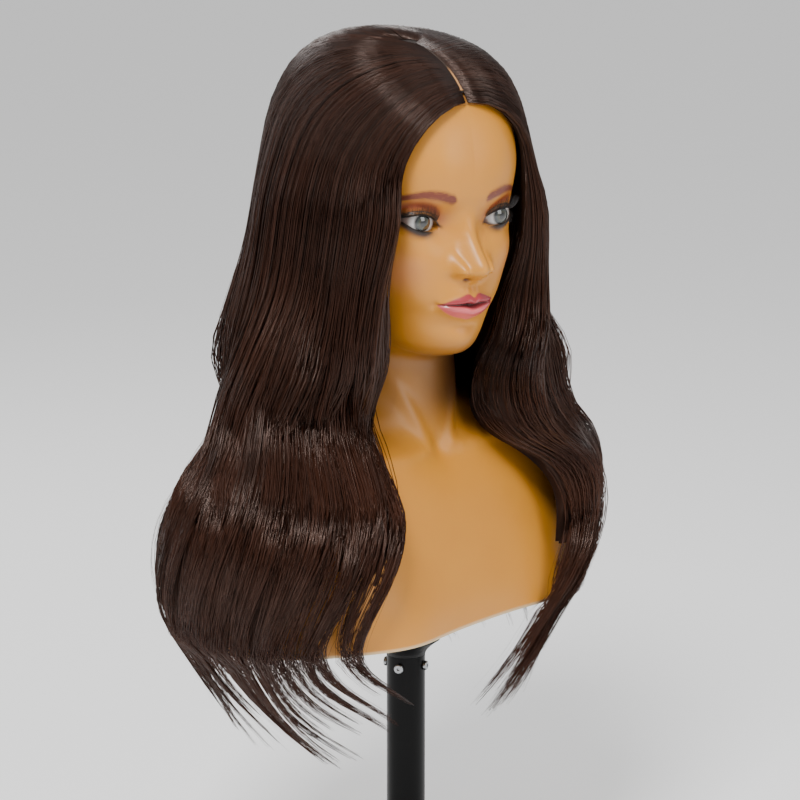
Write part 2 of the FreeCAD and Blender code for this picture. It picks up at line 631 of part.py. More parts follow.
def hairline_ring(azimuth):
    """The ring place of the hairline in one direction from the face's front."""
    return ring_of_height(piecewise(HAIRLINE, abs((azimuth + 180) % 360 - 180)))


def scalp_patch(azimuths, share_from, share_to, offset_in, offset_out, rows=12):
    """A solid over the scalp, between shares of the way from the crown to the hairline."""
    outer, inner = [], []
    for a in azimuths:
        places = [hairline_ring(a) * s for s in steps(share_from, share_to, rows)]
        outer.append([inset(a, t, -offset_out(a, t)) for t in places])
        inner.append([inset(a, t, -offset_in(a, t)) for t in places])
    for grid in (outer, inner):
        if share_from == 0:
            for column in grid:
                column[0] = grid[0][0]
    return thick_patch(outer, inner)


def wig_cap():
    low = lambda a, t: CAP_GAP
    high = lambda a, t: CAP_GAP + CAP_THICKNESS
    halves = [scalp_patch(steps(s, s + 180, 25), 0, 1, low, high, 16) for s in (0, 180)]
    keep("wig_cap", Part.Compound([halves[0], halves[1]]))

    lace_low = lambda a, t: CAP_GAP * 0.2
    lace_high = lambda a, t: CAP_GAP * 0.2 + 0.4
    columns_out, columns_in = [], []
    for a in steps(-46, 46, 19):
        t = hairline_ring(a) + 0.05
        places = steps(t, t + LACE_WIDTH / RING_SPACING, 3)
        columns_out.append([inset(a, p, -lace_high(a, p)) for p in places])
        columns_in.append([inset(a, p, -lace_low(a, p)) for p in places])
    keep("lace_front", thick_patch(columns_out, columns_in))

    part_out, part_in = [], []
    top = CAP_GAP + CAP_THICKNESS
    for side in steps(-PART_STRIP_WIDTH / 2, PART_STRIP_WIDTH / 2, 4):
        row_out, row_in = [], []
        for s in steps(0.32, 0.98, 9):
            t = hairline_ring(0) * s
            reach = RINGS[4][3] if t > 4 else ring_at(t)[3]
            a = math.degrees(math.atan2(side, reach))
            row_out.append(inset(a, t, -top - 0.5))
            row_in.append(inset(a, t, -top - 0.1))
        part_out.append(row_out)
        part_in.append(row_in)
    keep("part_strip", thick_patch(part_out, part_in))


def comb(azimuth, above_chin):
    """A small wig comb between the cap and the scalp: a back and a row of teeth."""
    t = ring_of_height(above_chin)
    tall = COMB_HEIGHT / RING_SPACING
    reach = ring_at(t)[4]
    half = math.degrees(COMB_LENGTH / 2 / reach)
    gap = (CAP_GAP - COMB_THICKNESS) / 2
    columns = steps(azimuth - half, azimuth + half, 9)
    rows = steps(t - tall / 2, t + tall / 2, 4)
    outer = [[inset(a, p, -gap - COMB_THICKNESS) for p in rows] for a in columns]
    inner = [[inset(a, p, -gap) for p in rows] for a in columns]
    body = thick_patch(outer, inner)
    middle = inset(azimuth, t, 0)
    out = (inset(azimuth, t, -1) - middle).normalize()
    across = (skin(azimuth + 1, t) - skin(azimuth - 1, t)).normalize()
    down = out.cross(across).normalize()
    if down.z > 0:
        down = down * -1
    for s in steps(-0.5, 0.5, COMB_TOOTH_GAPS + 2)[1:-1]:
        slot = Part.makeBox(COMB_TOOTH_GAP_WIDTH, 20, COMB_HEIGHT,
                            V(-COMB_TOOTH_GAP_WIDTH / 2, -10, -COMB_HEIGHT * 0.28))
        place = middle + across * (s * COMB_LENGTH)
        frame = FreeCAD.Matrix(
            across.x, out.x, down.x, place.x,
            across.y, out.y, down.y, place.y,
            across.z, out.z, down.z, place.z,
        )
        slot = slot.transformGeometry(frame)
        body = body.cut(slot)
    return body


def cap_fittings():
    keep("comb_right", comb(-72, 142))
    keep("comb_left", comb(72, 142))
    keep("comb_nape", comb(180, 96))

    wefts = []
    base = CAP_GAP + CAP_THICKNESS + 0.3
    for i in range(WEFT_ROWS):
        share = 0.52 + 0.42 * i / (WEFT_ROWS - 1)
        band = WEFT_HEIGHT / RING_SPACING / hairline_ring(120)
        low = lambda a, t: base
        high = lambda a, t: base + WEFT_THICKNESS
        for start in (75, 181):
            wefts.append(scalp_patch(steps(start, start + 104, 15), share, share + band, low, high, 3))
    keep("weft_tracks", Part.Compound(wefts))

    band_out, band_in = [], []
    for a in steps(128, 232, 15):
        fold = 360 - a if a > 180 else a
        t = ring_of_height(piecewise(HAIRLINE, fold)) + 0.12
        places = steps(t, t + 0.5, 3)
        band_out.append([inset(a, p, -CAP_GAP - CAP_THICKNESS) for p in places])
        band_in.append([inset(a, p, -CAP_GAP) for p in places])
    keep("nape_band", thick_patch(band_out, band_in))

    hooks = []
    for a in (150, 210):
        t = ring_of_height(piecewise(HAIRLINE, 150)) + 0.36
        p = inset(a, t, -CAP_GAP - CAP_THICKNESS - 0.1)
        out = (inset(a, t, -5) - inset(a, t, 0)).normalize()
        plate = Part.makeBox(8, 6, 0.8, V(-4, -3, 0)).cut(Part.makeBox(4, 3, 2, V(-2, -1.5, -0.5)))
        plate.Placement = FreeCAD.Placement(p, FreeCAD.Rotation(V(0, 0, 1), out))
        hooks.append(plate)
    keep("band_hooks", Part.Compound(hooks))


# hanging hair: each sector runs between two azimuths about the pole's axis, from the chest's front
SHADOW_STEP = 5
SHADOW_LEVELS = 86


def build_shadow():
    """For each azimuth and level, how far out the head and bust reach at that level or above it."""
    count = 360 // SHADOW_STEP
    reach = [[0.0] * SHADOW_LEVELS for _ in range(count)]
    for i in range(0, 360, 3):
        for k in range(LAST_RING * 8 + 1):
            p = skin(i, k / 8.0)
            azimuth = math.degrees(math.atan2(p.x, -p.y)) % 360
            level = int((p.z - BUST_BOTTOM) / 5.0)
            cell = int(round(azimuth / SHADOW_STEP)) % count
            level = min(max(level, 0), SHADOW_LEVELS - 1)
            reach[cell][level] = max(reach[cell][level], math.hypot(p.x, p.y))
    for column in reach:
        for level in range(SHADOW_LEVELS - 2, -1, -1):
            column[level] = max(column[level], column[level + 1])
    return reach


SHADOW = build_shadow()


def shadow(azimuth, z):
    """How far out the head and bust reach at height z or above it, in one direction."""
    a = (azimuth % 360) / SHADOW_STEP
    i, s = int(a), a - int(a)
    level = min(max((z - BUST_BOTTOM) / 5.0 - 1, 0), SHADOW_LEVELS - 1.001)
    j, r = int(level), level - int(level)
    count = len(SHADOW)
    column = lambda k: SHADOW[k % count][j] * (1 - r) + SHADOW[k % count][j + 1] * r
    return column(i) * (1 - s) + column(i + 1) * s


def envelope(azimuth, z):
    """Outer and inner radius of the hanging hair in one direction and at one height."""
    widest = max(shadow(azimuth + d, z) for d in (-6, 0, 6)) + HAIR_CLEARANCE
    above_edge = z - BUST_BOTTOM
    backness = 0.5 - 0.5 * math.cos(math.radians(azimuth))
    full = FRONT_FULLNESS + (BACK_FULLNESS - FRONT_FULLNESS) * backness
    full += NECK_FLARE * backness * smooth((NECK_FLARE_TOP - above_edge) / 90.0)
    upper = smooth((above_edge - SHOULDER_TOP) / 60.0)
    outer = widest + SHOULDER_HAIR + (full - SHOULDER_HAIR) * upper
    ends = min(1.0, max(0.0, -above_edge / HAIR_DROP))
    outer -= ends * ends * TIP_DRAW_IN
    return outer, max(widest - ends * ends * TIP_DRAW_IN, outer - CURTAIN_WALL)


def hair_line(azimuth, top, tip, which):
    """Radius and height at even steps down one line of the hanging hair."""
    raw = []
    for k in range(61):
        z = top + (tip - top) * k / 60.0
        raw.append((envelope(azimuth, z)[which], z))
    length = [0.0]
    for p, q in zip(raw, raw[1:]):
        length.append(length[-1] + math.hypot(q[0] - p[0], q[1] - p[1]))
    out = []
    for s in steps(0, length[-1], 15):
        k = max(i for i in range(len(raw)) if length[i] <= s + 1e-9)
        if k == len(raw) - 1:
            out.append(raw[-1])
            continue
        r = (s - length[k]) / (length[k + 1] - length[k])
        out.append(tuple(raw[k][j] + (raw[k + 1][j] - raw[k][j]) * r for j in (0, 1)))
    return out


def hair_curtain(start, stop, top, tip):
    """One hanging mass of hair between two azimuths."""
    grids = []
    for which in (0, 1):
        grid = []
        for azimuth in steps(start, stop, 8):
            a = math.radians(azimuth)
            out = V(math.sin(a), -math.cos(a), 0)
            grid.append([out * r + V(0, 0, z) for r, z in hair_line(azimuth, top(azimuth), tip, which)])
        grids.append(grid)
    return thick_patch(*grids)


SECTORS = (                     # name, start and stop azimuth, tip height above the lower edge
    ("hair_left_front", 31.0, 76.0, -96.0),
    ("hair_left_side", 76.0, 118.0, -90.0),
    ("hair_back_left", 118.0, 180.0, -84.0),
    ("hair_back_right", 180.0, 236.0, -84.0),
    ("hair_right_side", 236.0, 271.0, -92.0),
    ("hair_right_front", 271.0, 304.0, -98.0),
)


def hair():
    def crown_low(a, t):
        return CAP_GAP + CAP_THICKNESS + WEFT_THICKNESS + HAIR_ON_CAP_GAP

    def crown_high(a, t):
        fold = abs((a + 180) % 360 - 180)
        swell = CROWN_HAIR + (CROWN_HAIR_BACK - CROWN_HAIR) * min(1.0, fold / 110.0)
        back = smooth((fold - 55) / 45.0)
        near_edge = smooth(t / hairline_ring(a))
        behind = swell + (CROWN_HAIR_NAPE - CROWN_HAIR_BACK) * near_edge
        share = CROWN_HAIR_FRONT_SHARE * near_edge + 1 - near_edge
        return crown_low(a, t) + behind * back + swell * share * (1 - back)

    for name, start, stop in (("hair_crown_left", 0.5, 179.5), ("hair_crown_right", 180.5, 359.5)):
        azimuths = steps(start, stop, 25)
        wrapped = [a if a <= 180 else a - 360 for a in azimuths]
        keep(name, scalp_patch(wrapped, 0, 0.97, crown_low, crown_high, 13))

    def top(azimuth):
        from_face = abs((azimuth + HEAD_TURN + 180) % 360 - 180)
        return skin(azimuth + HEAD_TURN, hairline_ring(from_face)).z - CURTAIN_TOP_BELOW_HAIRLINE

    for name, start, stop, tip in SECTORS:
        half_gap = SECTOR_GAP / 2
        keep(name, hair_curtain(start + half_gap, stop - half_gap, top, BUST_BOTTOM + tip))


def build():
    stand()
    bust(spigot_and_hub())
    wig_cap()
    cap_fittings()
    hair()
    os.makedirs("parts", exist_ok=True)
    for name, shape in sorted(made.items()):
        solids = shape.Solids
        assert solids and all(s.isValid() and s.Volume > 0 for s in solids), name
        shape.exportStep("parts/" + name + ".step")
        print("%-20s %2d solids %12.1f mm3" % (name, len(solids), shape.Volume))


build()
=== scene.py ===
# %% [markdown]
# # Mannequin training head with a long wavy wig
# The object is a painted head-and-shoulders shell with inset eyes, a lace-front wig of long dark
# hair, and a stand with a black pole.

# %% Load the frame
import math
import bmesh
import bpy
import numpy as np
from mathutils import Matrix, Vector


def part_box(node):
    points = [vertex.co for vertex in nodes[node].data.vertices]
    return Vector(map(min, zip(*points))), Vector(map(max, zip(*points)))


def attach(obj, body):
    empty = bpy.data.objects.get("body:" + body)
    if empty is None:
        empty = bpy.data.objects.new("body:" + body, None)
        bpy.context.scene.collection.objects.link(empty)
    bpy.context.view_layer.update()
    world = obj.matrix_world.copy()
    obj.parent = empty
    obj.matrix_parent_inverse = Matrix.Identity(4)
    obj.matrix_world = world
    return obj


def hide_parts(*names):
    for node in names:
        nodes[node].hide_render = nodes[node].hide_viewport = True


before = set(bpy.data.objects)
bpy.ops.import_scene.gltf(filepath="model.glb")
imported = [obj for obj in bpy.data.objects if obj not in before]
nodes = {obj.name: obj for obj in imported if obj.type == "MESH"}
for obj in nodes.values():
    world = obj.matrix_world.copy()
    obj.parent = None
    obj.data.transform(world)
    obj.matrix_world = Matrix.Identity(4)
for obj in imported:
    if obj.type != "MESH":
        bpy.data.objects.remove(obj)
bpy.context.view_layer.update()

MM = 0.001
random = np.random.default_rng(58)

# %% [markdown]
# ## Camera
# The viewer stands about two metres away with a short telephoto lens, at the height of the
# mannequin's face. The camera looks from the mannequin's right front, a little downwards.

# %% Camera
AZIMUTH = math.radians(-50.0)
ELEVATION = math.radians(12.0)
DISTANCE = 2.0
FIELD = math.radians(17.3)
AIM_HEIGHT = 0.407
AIM_ASIDE = -0.0046

BACK = np.array([
    math.sin(AZIMUTH) * math.cos(ELEVATION),
    -math.cos(AZIMUTH) * math.cos(ELEVATION),
    math.sin(ELEVATION),
])
SIDE = np.array([math.cos(AZIMUTH), math.sin(AZIMUTH), 0.0])


def add_camera():
    """The camera stands DISTANCE along BACK from a point near the pole's axis."""
    data = bpy.data.cameras.new("camera")
    data.angle = FIELD
    data.clip_end = 50.0
    camera = bpy.data.objects.new("camera", data)
    bpy.context.scene.collection.objects.link(camera)
    place = np.array([0.0, 0.0, AIM_HEIGHT]) + SIDE * AIM_ASIDE + BACK * DISTANCE
    camera.location = place
    camera.rotation_euler = (math.pi / 2 - ELEVATION, 0.0, AZIMUTH)
    bpy.context.scene.camera = camera
    print("camera at", [round(float(v), 3) for v in place])


add_camera()

# %% [markdown]
# ## Studio
# A pale seamless floor, an even white world and three soft square lamps: a strong key above the
# camera's left, a fill on its right and a weaker one behind, so that glossy hair shows soft bands.

# %% Floor, world and lamps
WORLD_STRENGTH = 0.58
FLOOR_HALF = 40.0
FLOOR_GLOW = 0.22


def rgb(red, green, blue):
    """Linear colour from 0 to 255 values as a paint chart gives them."""
    chart = np.array([red, green, blue]) / 255.0
    linear = np.where(chart <= 0.04045, chart / 12.92, ((chart + 0.055) / 1.055) ** 2.4)
    return tuple(float(v) for v in linear) + (1.0,)


def add_lamp(name, place, target, size, power):
    """A square area lamp at place that faces target."""
    data = bpy.data.lights.new(name, "AREA")
    data.energy = power
    data.size = size
    lamp = bpy.data.objects.new(name, data)
    bpy.context.scene.collection.objects.link(lamp)
    lamp.location = place
    direction = np.array(target) - np.array(place)
    flat = math.hypot(direction[0], direction[1])
    lamp.rotation_euler = (math.pi / 2 + math.atan2(direction[2], flat), 0.0,
                           math.atan2(-direction[0], direction[1]))


def add_studio():
    """Floor, world light and lamps. All of them are staging, not part of the object."""
    world = bpy.data.worlds.new("studio")
    world.use_nodes = True
    world.node_tree.nodes["Background"].inputs["Color"].default_value = (1.0, 1.0, 1.0, 1.0)
    world.node_tree.nodes["Background"].inputs["Strength"].default_value = WORLD_STRENGTH
    bpy.context.scene.world = world
    mesh = bpy.data.meshes.new("floor")
    half = FLOOR_HALF
    mesh.from_pydata([(-half, -half, 0), (half, -half, 0), (half, half, 0), (-half, half, 0)],
                     [], [(0, 1, 2, 3)])
    floor = bpy.data.objects.new("floor", mesh)
    bpy.context.scene.collection.objects.link(floor)
    material = bpy.data.materials.new("floor_paper")
    material.use_nodes = True
    paper = material.node_tree.nodes["Principled BSDF"]
    paper.inputs["Base Color"].default_value = (0.95, 0.95, 0.95, 1.0)
    paper.inputs["Roughness"].default_value = 0.9
    paper.inputs["Emission Color"].default_value = (1.0, 1.0, 1.0, 1.0)
    paper.inputs["Emission Strength"].default_value = FLOOR_GLOW
    mesh.materials.append(material)
    head = (0.0, 0.0, 0.5)
    left, toward, up = -SIDE, BACK, np.array([0.0, 0.0, 1.0])
    add_lamp("key", left * 0.5 + toward * 1.7 + up * 2.1, head, 0.8, 88.0)
    add_lamp("fill", left * -1.8 + toward * 1.4 + up * 0.9, head, 1.2, 20.0)
    add_lamp("back", left * 0.9 - toward * 1.5 + up * 1.9, head, 0.8, 10.0)


add_studio()

# %% [markdown]
# ## Mesh helpers
# Every new piece is a surface worked out as a whole array of points. One helper makes a mesh from
# such arrays, one joins doubled points, and two close the wall between an outer and an inner grid.

# %% Mesh helpers
def make_object(name, points, faces_by_size, attributes=None):
    """A smooth-shaded mesh from an N x 3 point array and face arrays, one for each face size."""
    mesh = bpy.data.meshes.new(name)
    mesh.vertices.add(len(points))
    mesh.vertices.foreach_set("co", np.ascontiguousarray(points, np.float32).ravel())
    corner_count = sum(f.size for f in faces_by_size)
    face_count = sum(len(f) for f in faces_by_size)
    mesh.loops.add(corner_count)
    mesh.polygons.add(face_count)
    corners = np.concatenate([f.ravel() for f in faces_by_size])
    mesh.loops.foreach_set("vertex_index", corners.astype(np.int32))
    sizes = np.concatenate([np.full(len(f), f.shape[1]) for f in faces_by_size])
    starts = np.concatenate([[0], np.cumsum(sizes)[:-1]]).astype(np.int32)
    mesh.polygons.foreach_set("loop_start", starts)
    mesh.update(calc_edges=True)
    mesh.validate()
    mesh.polygons.foreach_set("use_smooth", np.ones(len(mesh.polygons), bool))
    for label, values in (attributes or {}).items():
        layer = mesh.attributes.new(label, "FLOAT", "POINT")
        layer.data.foreach_set("value", np.ascontiguousarray(values, np.float32).ravel())
    piece = bpy.data.objects.new(name, mesh)
    bpy.context.scene.collection.objects.link(piece)
    return piece


def grid_faces(rows, columns, wrap_rows=False, wrap_columns=False, offset=0):
    """Quads of a rows x columns grid of points, joined round where a direction wraps."""
    i = np.arange(rows if wrap_rows else rows - 1)
    j = np.arange(columns if wrap_columns else columns - 1)
    a, b = np.meshgrid(i, j, indexing="ij")
    a2, b2 = (a + 1) % rows, (b + 1) % columns
    quads = np.stack([a * columns + b, a2 * columns + b, a2 * columns + b2, a * columns + b2], -1)
    return quads.reshape(-1, 4) + offset


def weld(piece, distance=1e-6):
    """Joins doubled points and turns all faces outwards."""
    edit = bmesh.new()
    edit.from_mesh(piece.data)
    bmesh.ops.remove_doubles(edit, verts=edit.verts, dist=distance)
    bmesh.ops.dissolve_degenerate(edit, edges=edit.edges, dist=distance)
    bmesh.ops.recalc_face_normals(edit, faces=edit.faces)
    edit.to_mesh(piece.data)
    edit.free()
    return piece


def closed_sheet(name, outer, inner, attributes=None):
    """A closed wall between two equal grids of points: outer skin, inner skin and four rims."""
    rows, columns = outer.shape[:2]
    count = rows * columns
    points = np.concatenate([outer.reshape(-1, 3), inner.reshape(-1, 3)])
    front = grid_faces(rows, columns)
    back = grid_faces(rows, columns, offset=count)[:, ::-1]
    index = np.arange(count).reshape(rows, columns)
    rims = []
    for line in (index[0], index[-1][::-1], index[:, -1], index[:, 0][::-1]):
        rims.append(np.stack([line[:-1], line[1:], line[1:] + count, line[:-1] + count], -1))
    doubled = {k: np.concatenate([v.ravel(), v.ravel()]) for k, v in (attributes or {}).items()}
    return weld(make_object(name, points, [np.concatenate([front, back] + rims)], doubled))


def closed_wall(name, outer, inner, attributes):
    """A closed wall whose inner skin has a third of the outer skin's rows and columns."""
    rows, columns = outer.shape[:2]
    sparse = inner[::3, ::3]
    count = rows * columns
    few_rows, few_columns = sparse.shape[:2]
    index = np.arange(count).reshape(rows, columns)
    few = np.arange(few_rows * few_columns).reshape(few_rows, few_columns) + count
    rims = []
    for line, thin in ((index[0], few[0]), (index[-1][::-1], few[-1][::-1]),
                       (index[:, -1], few[:, -1]), (index[:, 0][::-1], few[:, 0][::-1])):
        a, b, c, d, n, m = line[:-1:3], line[1::3], line[2::3], line[3::3], thin[:-1], thin[1:]
        rims += [np.stack([a, b, n], -1), np.stack([b, c, n], -1), np.stack([c, m, n], -1),
                 np.stack([c, d, m], -1)]
    quads = np.concatenate([grid_faces(rows, columns),
                            grid_faces(few_rows, few_columns, offset=count)[:, ::-1]])
    values = {k: np.concatenate([v.ravel(), v[::3, ::3].ravel()]) for k, v in attributes.items()}
    points = np.concatenate([outer.reshape(-1, 3), sparse.reshape(-1, 3)])
    return weld(make_object(name, points, [quads, np.concatenate(rims)], values))


# %% [markdown]
# ## Shader groups
# Two effects come back in many finishes. One is a slow change of colour over a surface, the other
# is a fine bump. Each is a node group with its own inputs, placed in a material with its values.

# %% Shader groups
def new_group(name, inputs, outputs):
    """An empty shader group with named sockets. Each socket is (name, type, default)."""
    tree = bpy.data.node_groups.new(name, "ShaderNodeTree")
    for label, kind, default in inputs:
        socket = tree.interface.new_socket(label, in_out="INPUT", socket_type=kind)
        if default is not None:
            socket.default_value = default
    for label, kind in outputs:
        tree.interface.new_socket(label, in_out="OUTPUT", socket_type=kind)
    return tree, tree.nodes.new("NodeGroupInput"), tree.nodes.new("NodeGroupOutput")


def build_mottle_group():
    """Colour A and colour B mixed by soft noise of a given scale and strength."""
    tree, enter, leave = new_group(
        "mottle",
        [("Color A", "NodeSocketColor", None), ("Color B", "NodeSocketColor", None),
         ("Scale", "NodeSocketFloat", 20.0), ("Amount", "NodeSocketFloat", 0.5)],
        [("Color", "NodeSocketColor"), ("Mask", "NodeSocketFloat")])
    place = tree.nodes.new("ShaderNodeTexCoord")
    noise = tree.nodes.new("ShaderNodeTexNoise")
    noise.inputs["Detail"].default_value = 4.0
    share = tree.nodes.new("ShaderNodeMath")
    share.operation = "MULTIPLY"
    mix = tree.nodes.new("ShaderNodeMix")
    mix.data_type = "RGBA"
    tree.links.new(place.outputs["Object"], noise.inputs["Vector"])
    tree.links.new(enter.outputs["Scale"], noise.inputs["Scale"])
    tree.links.new(noise.outputs["Fac"], share.inputs[0])
    tree.links.new(enter.outputs["Amount"], share.inputs[1])
    tree.links.new(share.outputs[0], mix.inputs["Factor"])
    tree.links.new(enter.outputs["Color A"], mix.inputs["A"])
    tree.links.new(enter.outputs["Color B"], mix.inputs["B"])
    tree.links.new(mix.outputs["Result"], leave.inputs["Color"])
    tree.links.new(noise.outputs["Fac"], leave.inputs["Mask"])
    return tree


def build_grain_group():
    """A fine bump from noise stretched by a direction, given out as a normal."""
    tree, enter, leave = new_group(
        "grain",
        [("Scale", "NodeSocketFloat", 400.0), ("Depth", "NodeSocketFloat", 0.1),
         ("Stretch", "NodeSocketVector", None)],
        [("Normal", "NodeSocketVector"), ("Mask", "NodeSocketFloat")])
    place = tree.nodes.new("ShaderNodeTexCoord")
    pull = tree.nodes.new("ShaderNodeVectorMath")
    pull.operation = "MULTIPLY"
    noise = tree.nodes.new("ShaderNodeTexNoise")
    noise.inputs["Detail"].default_value = 3.0
    bump = tree.nodes.new("ShaderNodeBump")
    bump.inputs["Distance"].default_value = 0.0006
    tree.links.new(place.outputs["Object"], pull.inputs[0])
    tree.links.new(enter.outputs["Stretch"], pull.inputs[1])
    tree.links.new(pull.outputs["Vector"], noise.inputs["Vector"])
    tree.links.new(enter.outputs["Scale"], noise.inputs["Scale"])
    tree.links.new(noise.outputs["Fac"], bump.inputs["Height"])
    tree.links.new(enter.outputs["Depth"], bump.inputs["Strength"])
    tree.links.new(bump.outputs["Normal"], leave.inputs["Normal"])
    tree.links.new(noise.outputs["Fac"], leave.inputs["Mask"])
    return tree


mottle_group = build_mottle_group()
grain_group = build_grain_group()


class Finish:
    """A material under construction: a Principled shader and short ways to feed it."""

    def __init__(self, name, color, roughness, metallic=0.0, **sockets):
        self.material = bpy.data.materials.new(name)
        self.material.use_nodes = True
        self.tree = self.material.node_tree
        self.shader = self.tree.nodes["Principled BSDF"]
        self.shader.inputs["Base Color"].default_value = color
        self.shader.inputs["Roughness"].default_value = roughness
        self.shader.inputs["Metallic"].default_value = metallic
        for label, value in sockets.items():
            self.shader.inputs[label.replace("_", " ")].default_value = value

    def group(self, tree, **values):
        node = self.tree.nodes.new("ShaderNodeGroup")
        node.node_tree = tree
        for label, value in values.items():
            node.inputs[label.replace("_", " ")].default_value = value
        return node

    def mottle(self, color_a, color_b, scale, amount):
        """Feeds the base colour with two colours mixed by noise, and gives the colour out."""
        node = self.group(mottle_group, Color_A=color_a, Color_B=color_b, Scale=scale, Amount=amount)
        self.link(node.outputs["Color"], "Base Color")
        return node.outputs["Color"]

    def grain(self, scale, depth, stretch=(1.0, 1.0, 1.0)):
        """Feeds the normal with a fine bump, and gives the bump's mask out."""
        node = self.group(grain_group, Scale=scale, Depth=depth, Stretch=stretch)
        self.link(node.outputs["Normal"], "Normal")
        return node.outputs["Mask"]

    def link(self, output, label):
        self.tree.links.new(output, self.shader.inputs[label])

    def attribute(self, label):
        node = self.tree.nodes.new("ShaderNodeAttribute")
        node.attribute_name = label
        return node.outputs["Fac"]

    def paint(self, under, color, mask):
        """A paint colour laid over another where the mask is 1."""
        mix = self.tree.nodes.new("ShaderNodeMix")
        mix.data_type = "RGBA"
        self.tree.links.new(mask, mix.inputs["Factor"])
        if isinstance(under, tuple):
            mix.inputs["A"].default_value = under
        else:
            self.tree.links.new(under, mix.inputs["A"])
        if isinstance(color, tuple):
            mix.inputs["B"].default_value = color
        else:
            self.tree.links.new(color, mix.inputs["B"])
        return mix.outputs["Result"]

    def between(self, mask, low, high, label=None):
        """A number that goes from low to high with the mask."""
        node = self.tree.nodes.new("ShaderNodeMapRange")
        self.tree.links.new(mask, node.inputs["Value"])
        node.inputs["To Min"].default_value = low
        node.inputs["To Max"].default_value = high
        if label:
            self.link(node.outputs["Result"], label)
        return node.outputs["Result"]


def dress(piece, finish):
    """Gives a piece one material in place of any it had."""
    piece.data.materials.clear()
    piece.data.materials.append(finish.material)
    return piece


# %% [markdown]
# ## Skin surface
# The shell is a stack of rings from the crown to the lower edge, as a moulder would loft it. Each
# ring is a superellipse with its own reach forwards, sideways and backwards, and its front, side
# and back stand at different heights. The head rings are nodded and turned about the neck.

# %% Ring stack of the shell
BUST_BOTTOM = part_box("front_shell")[0].z / MM
CHIN_ABOVE_EDGE = 207.0
HEAD_TURN = 16.0
HEAD_NOD = 4.5
TURN_CENTRE_FORWARD = -8.0
NOD_CENTRE_HEIGHT = 297.0
HEAD_SHIFT = (-2.3, -2.5, 2.7)
BUST_SIDESTEP = -8.0
SHELL_WALL = 3.0

# heights above the lower edge at front, side and back; reach forwards, half width, reach back;
# front and back exponents; ring's centre forward of the pole; share of the head's pose
RINGS = np.array([
    (425.0, 425.0, 425.0, 0.0, 0.0, 0.0, 2.0, 2.0, -8.0, 1.0),
    (423.6, 423.6, 423.6, 24.0, 24.0, 27.0, 2.0, 2.0, -7.0, 1.0),
    (419.0, 419.0, 419.0, 43.0, 40.0, 46.0, 2.0, 2.0, -6.0, 1.0),
    (411.0, 411.0, 411.0, 60.5, 54.0, 64.0, 2.0, 2.0, -5.0, 1.0),
    (399.0, 399.0, 399.0, 75.0, 64.5, 77.0, 2.1, 2.0, -4.0, 1.0),
    (383.0, 383.0, 383.0, 85.5, 70.5, 86.0, 2.2, 2.0, -3.0, 1.0),
    (365.0, 365.0, 365.0, 91.5, 73.2, 90.5, 2.25, 2.05, -2.0, 1.0),
    (347.0, 347.0, 347.0, 93.0, 73.6, 92.0, 2.3, 2.1, 0.0, 1.0),
    (331.0, 331.0, 331.0, 90.5, 72.5, 90.0, 2.25, 2.1, 2.0, 1.0),
    (315.0, 315.0, 315.0, 83.5, 71.5, 86.0, 2.25, 2.1, 4.0, 1.0),
    (299.0, 300.0, 300.0, 83.0, 70.5, 79.0, 2.25, 2.1, 5.0, 1.0),
    (283.0, 287.0, 286.0, 86.0, 69.0, 73.0, 2.25, 2.1, 6.0, 1.0),
    (267.0, 275.0, 274.0, 88.0, 66.0, 67.5, 2.15, 2.1, 6.0, 1.0),
    (251.0, 265.0, 262.0, 89.5, 62.0, 63.0, 2.05, 2.1, 5.0, 1.0),
    (237.0, 256.0, 251.0, 87.0, 58.0, 59.0, 1.98, 2.1, 3.0, 1.0),
    (221.0, 246.0, 240.0, 87.5, 54.5, 55.0, 1.85, 2.1, 0.0, 1.0),
    (211.0, 238.0, 231.0, 83.5, 52.0, 52.5, 1.85, 2.1, -2.0, 1.0),
    (205.0, 230.0, 222.0, 73.0, 50.0, 50.0, 1.9, 2.1, -4.0, 0.93),
    (201.0, 220.0, 212.0, 58.0, 49.0, 47.5, 2.0, 2.1, -6.0, 0.86),
    (193.0, 206.0, 202.0, 48.0, 48.5, 46.5, 2.0, 2.1, -7.0, 0.72),
    (174.0, 186.0, 184.0, 46.0, 48.5, 46.5, 2.0, 2.1, -8.0, 0.48),
    (152.0, 170.0, 167.0, 46.5, 53.0, 50.0, 2.0, 2.1, -9.0, 0.2),
    (138.0, 161.0, 155.0, 48.0, 67.0, 56.0, 2.0, 2.1, -10.0, 0.07),
    (129.0, 154.0, 144.0, 50.5, 90.0, 62.0, 2.0, 2.2, -11.0, 0.0),
    (121.0, 147.0, 134.0, 53.5, 118.0, 68.0, 2.1, 2.3, -11.0, 0.0),
    (114.0, 138.0, 122.0, 57.5, 143.0, 76.0, 2.3, 2.4, -10.0, 0.0),
    (106.0, 125.0, 107.0, 62.0, 163.0, 85.0, 2.5, 2.5, -9.0, 0.0),
    (94.0, 106.0, 90.0, 68.0, 178.0, 94.0, 2.6, 2.6, -8.0, 0.0),
    (78.0, 83.0, 72.0, 74.0, 186.0, 102.0, 2.6, 2.6, -7.0, 0.0),
    (60.0, 59.0, 53.0, 80.0, 189.0, 106.0, 2.6, 2.6, -7.0, 0.0),
    (40.0, 38.0, 35.0, 87.0, 189.0, 104.0, 2.5, 2.6, -9.0, 0.0),
    (19.0, 18.0, 17.0, 94.0, 187.0, 97.0, 2.4, 2.6, -12.0, 0.0),
    (0.0, 0.0, 0.0, 98.0, 184.0, 88.0, 2.4, 2.6, -15.0, 0.0),
])
LAST_RING = len(RINGS) - 1


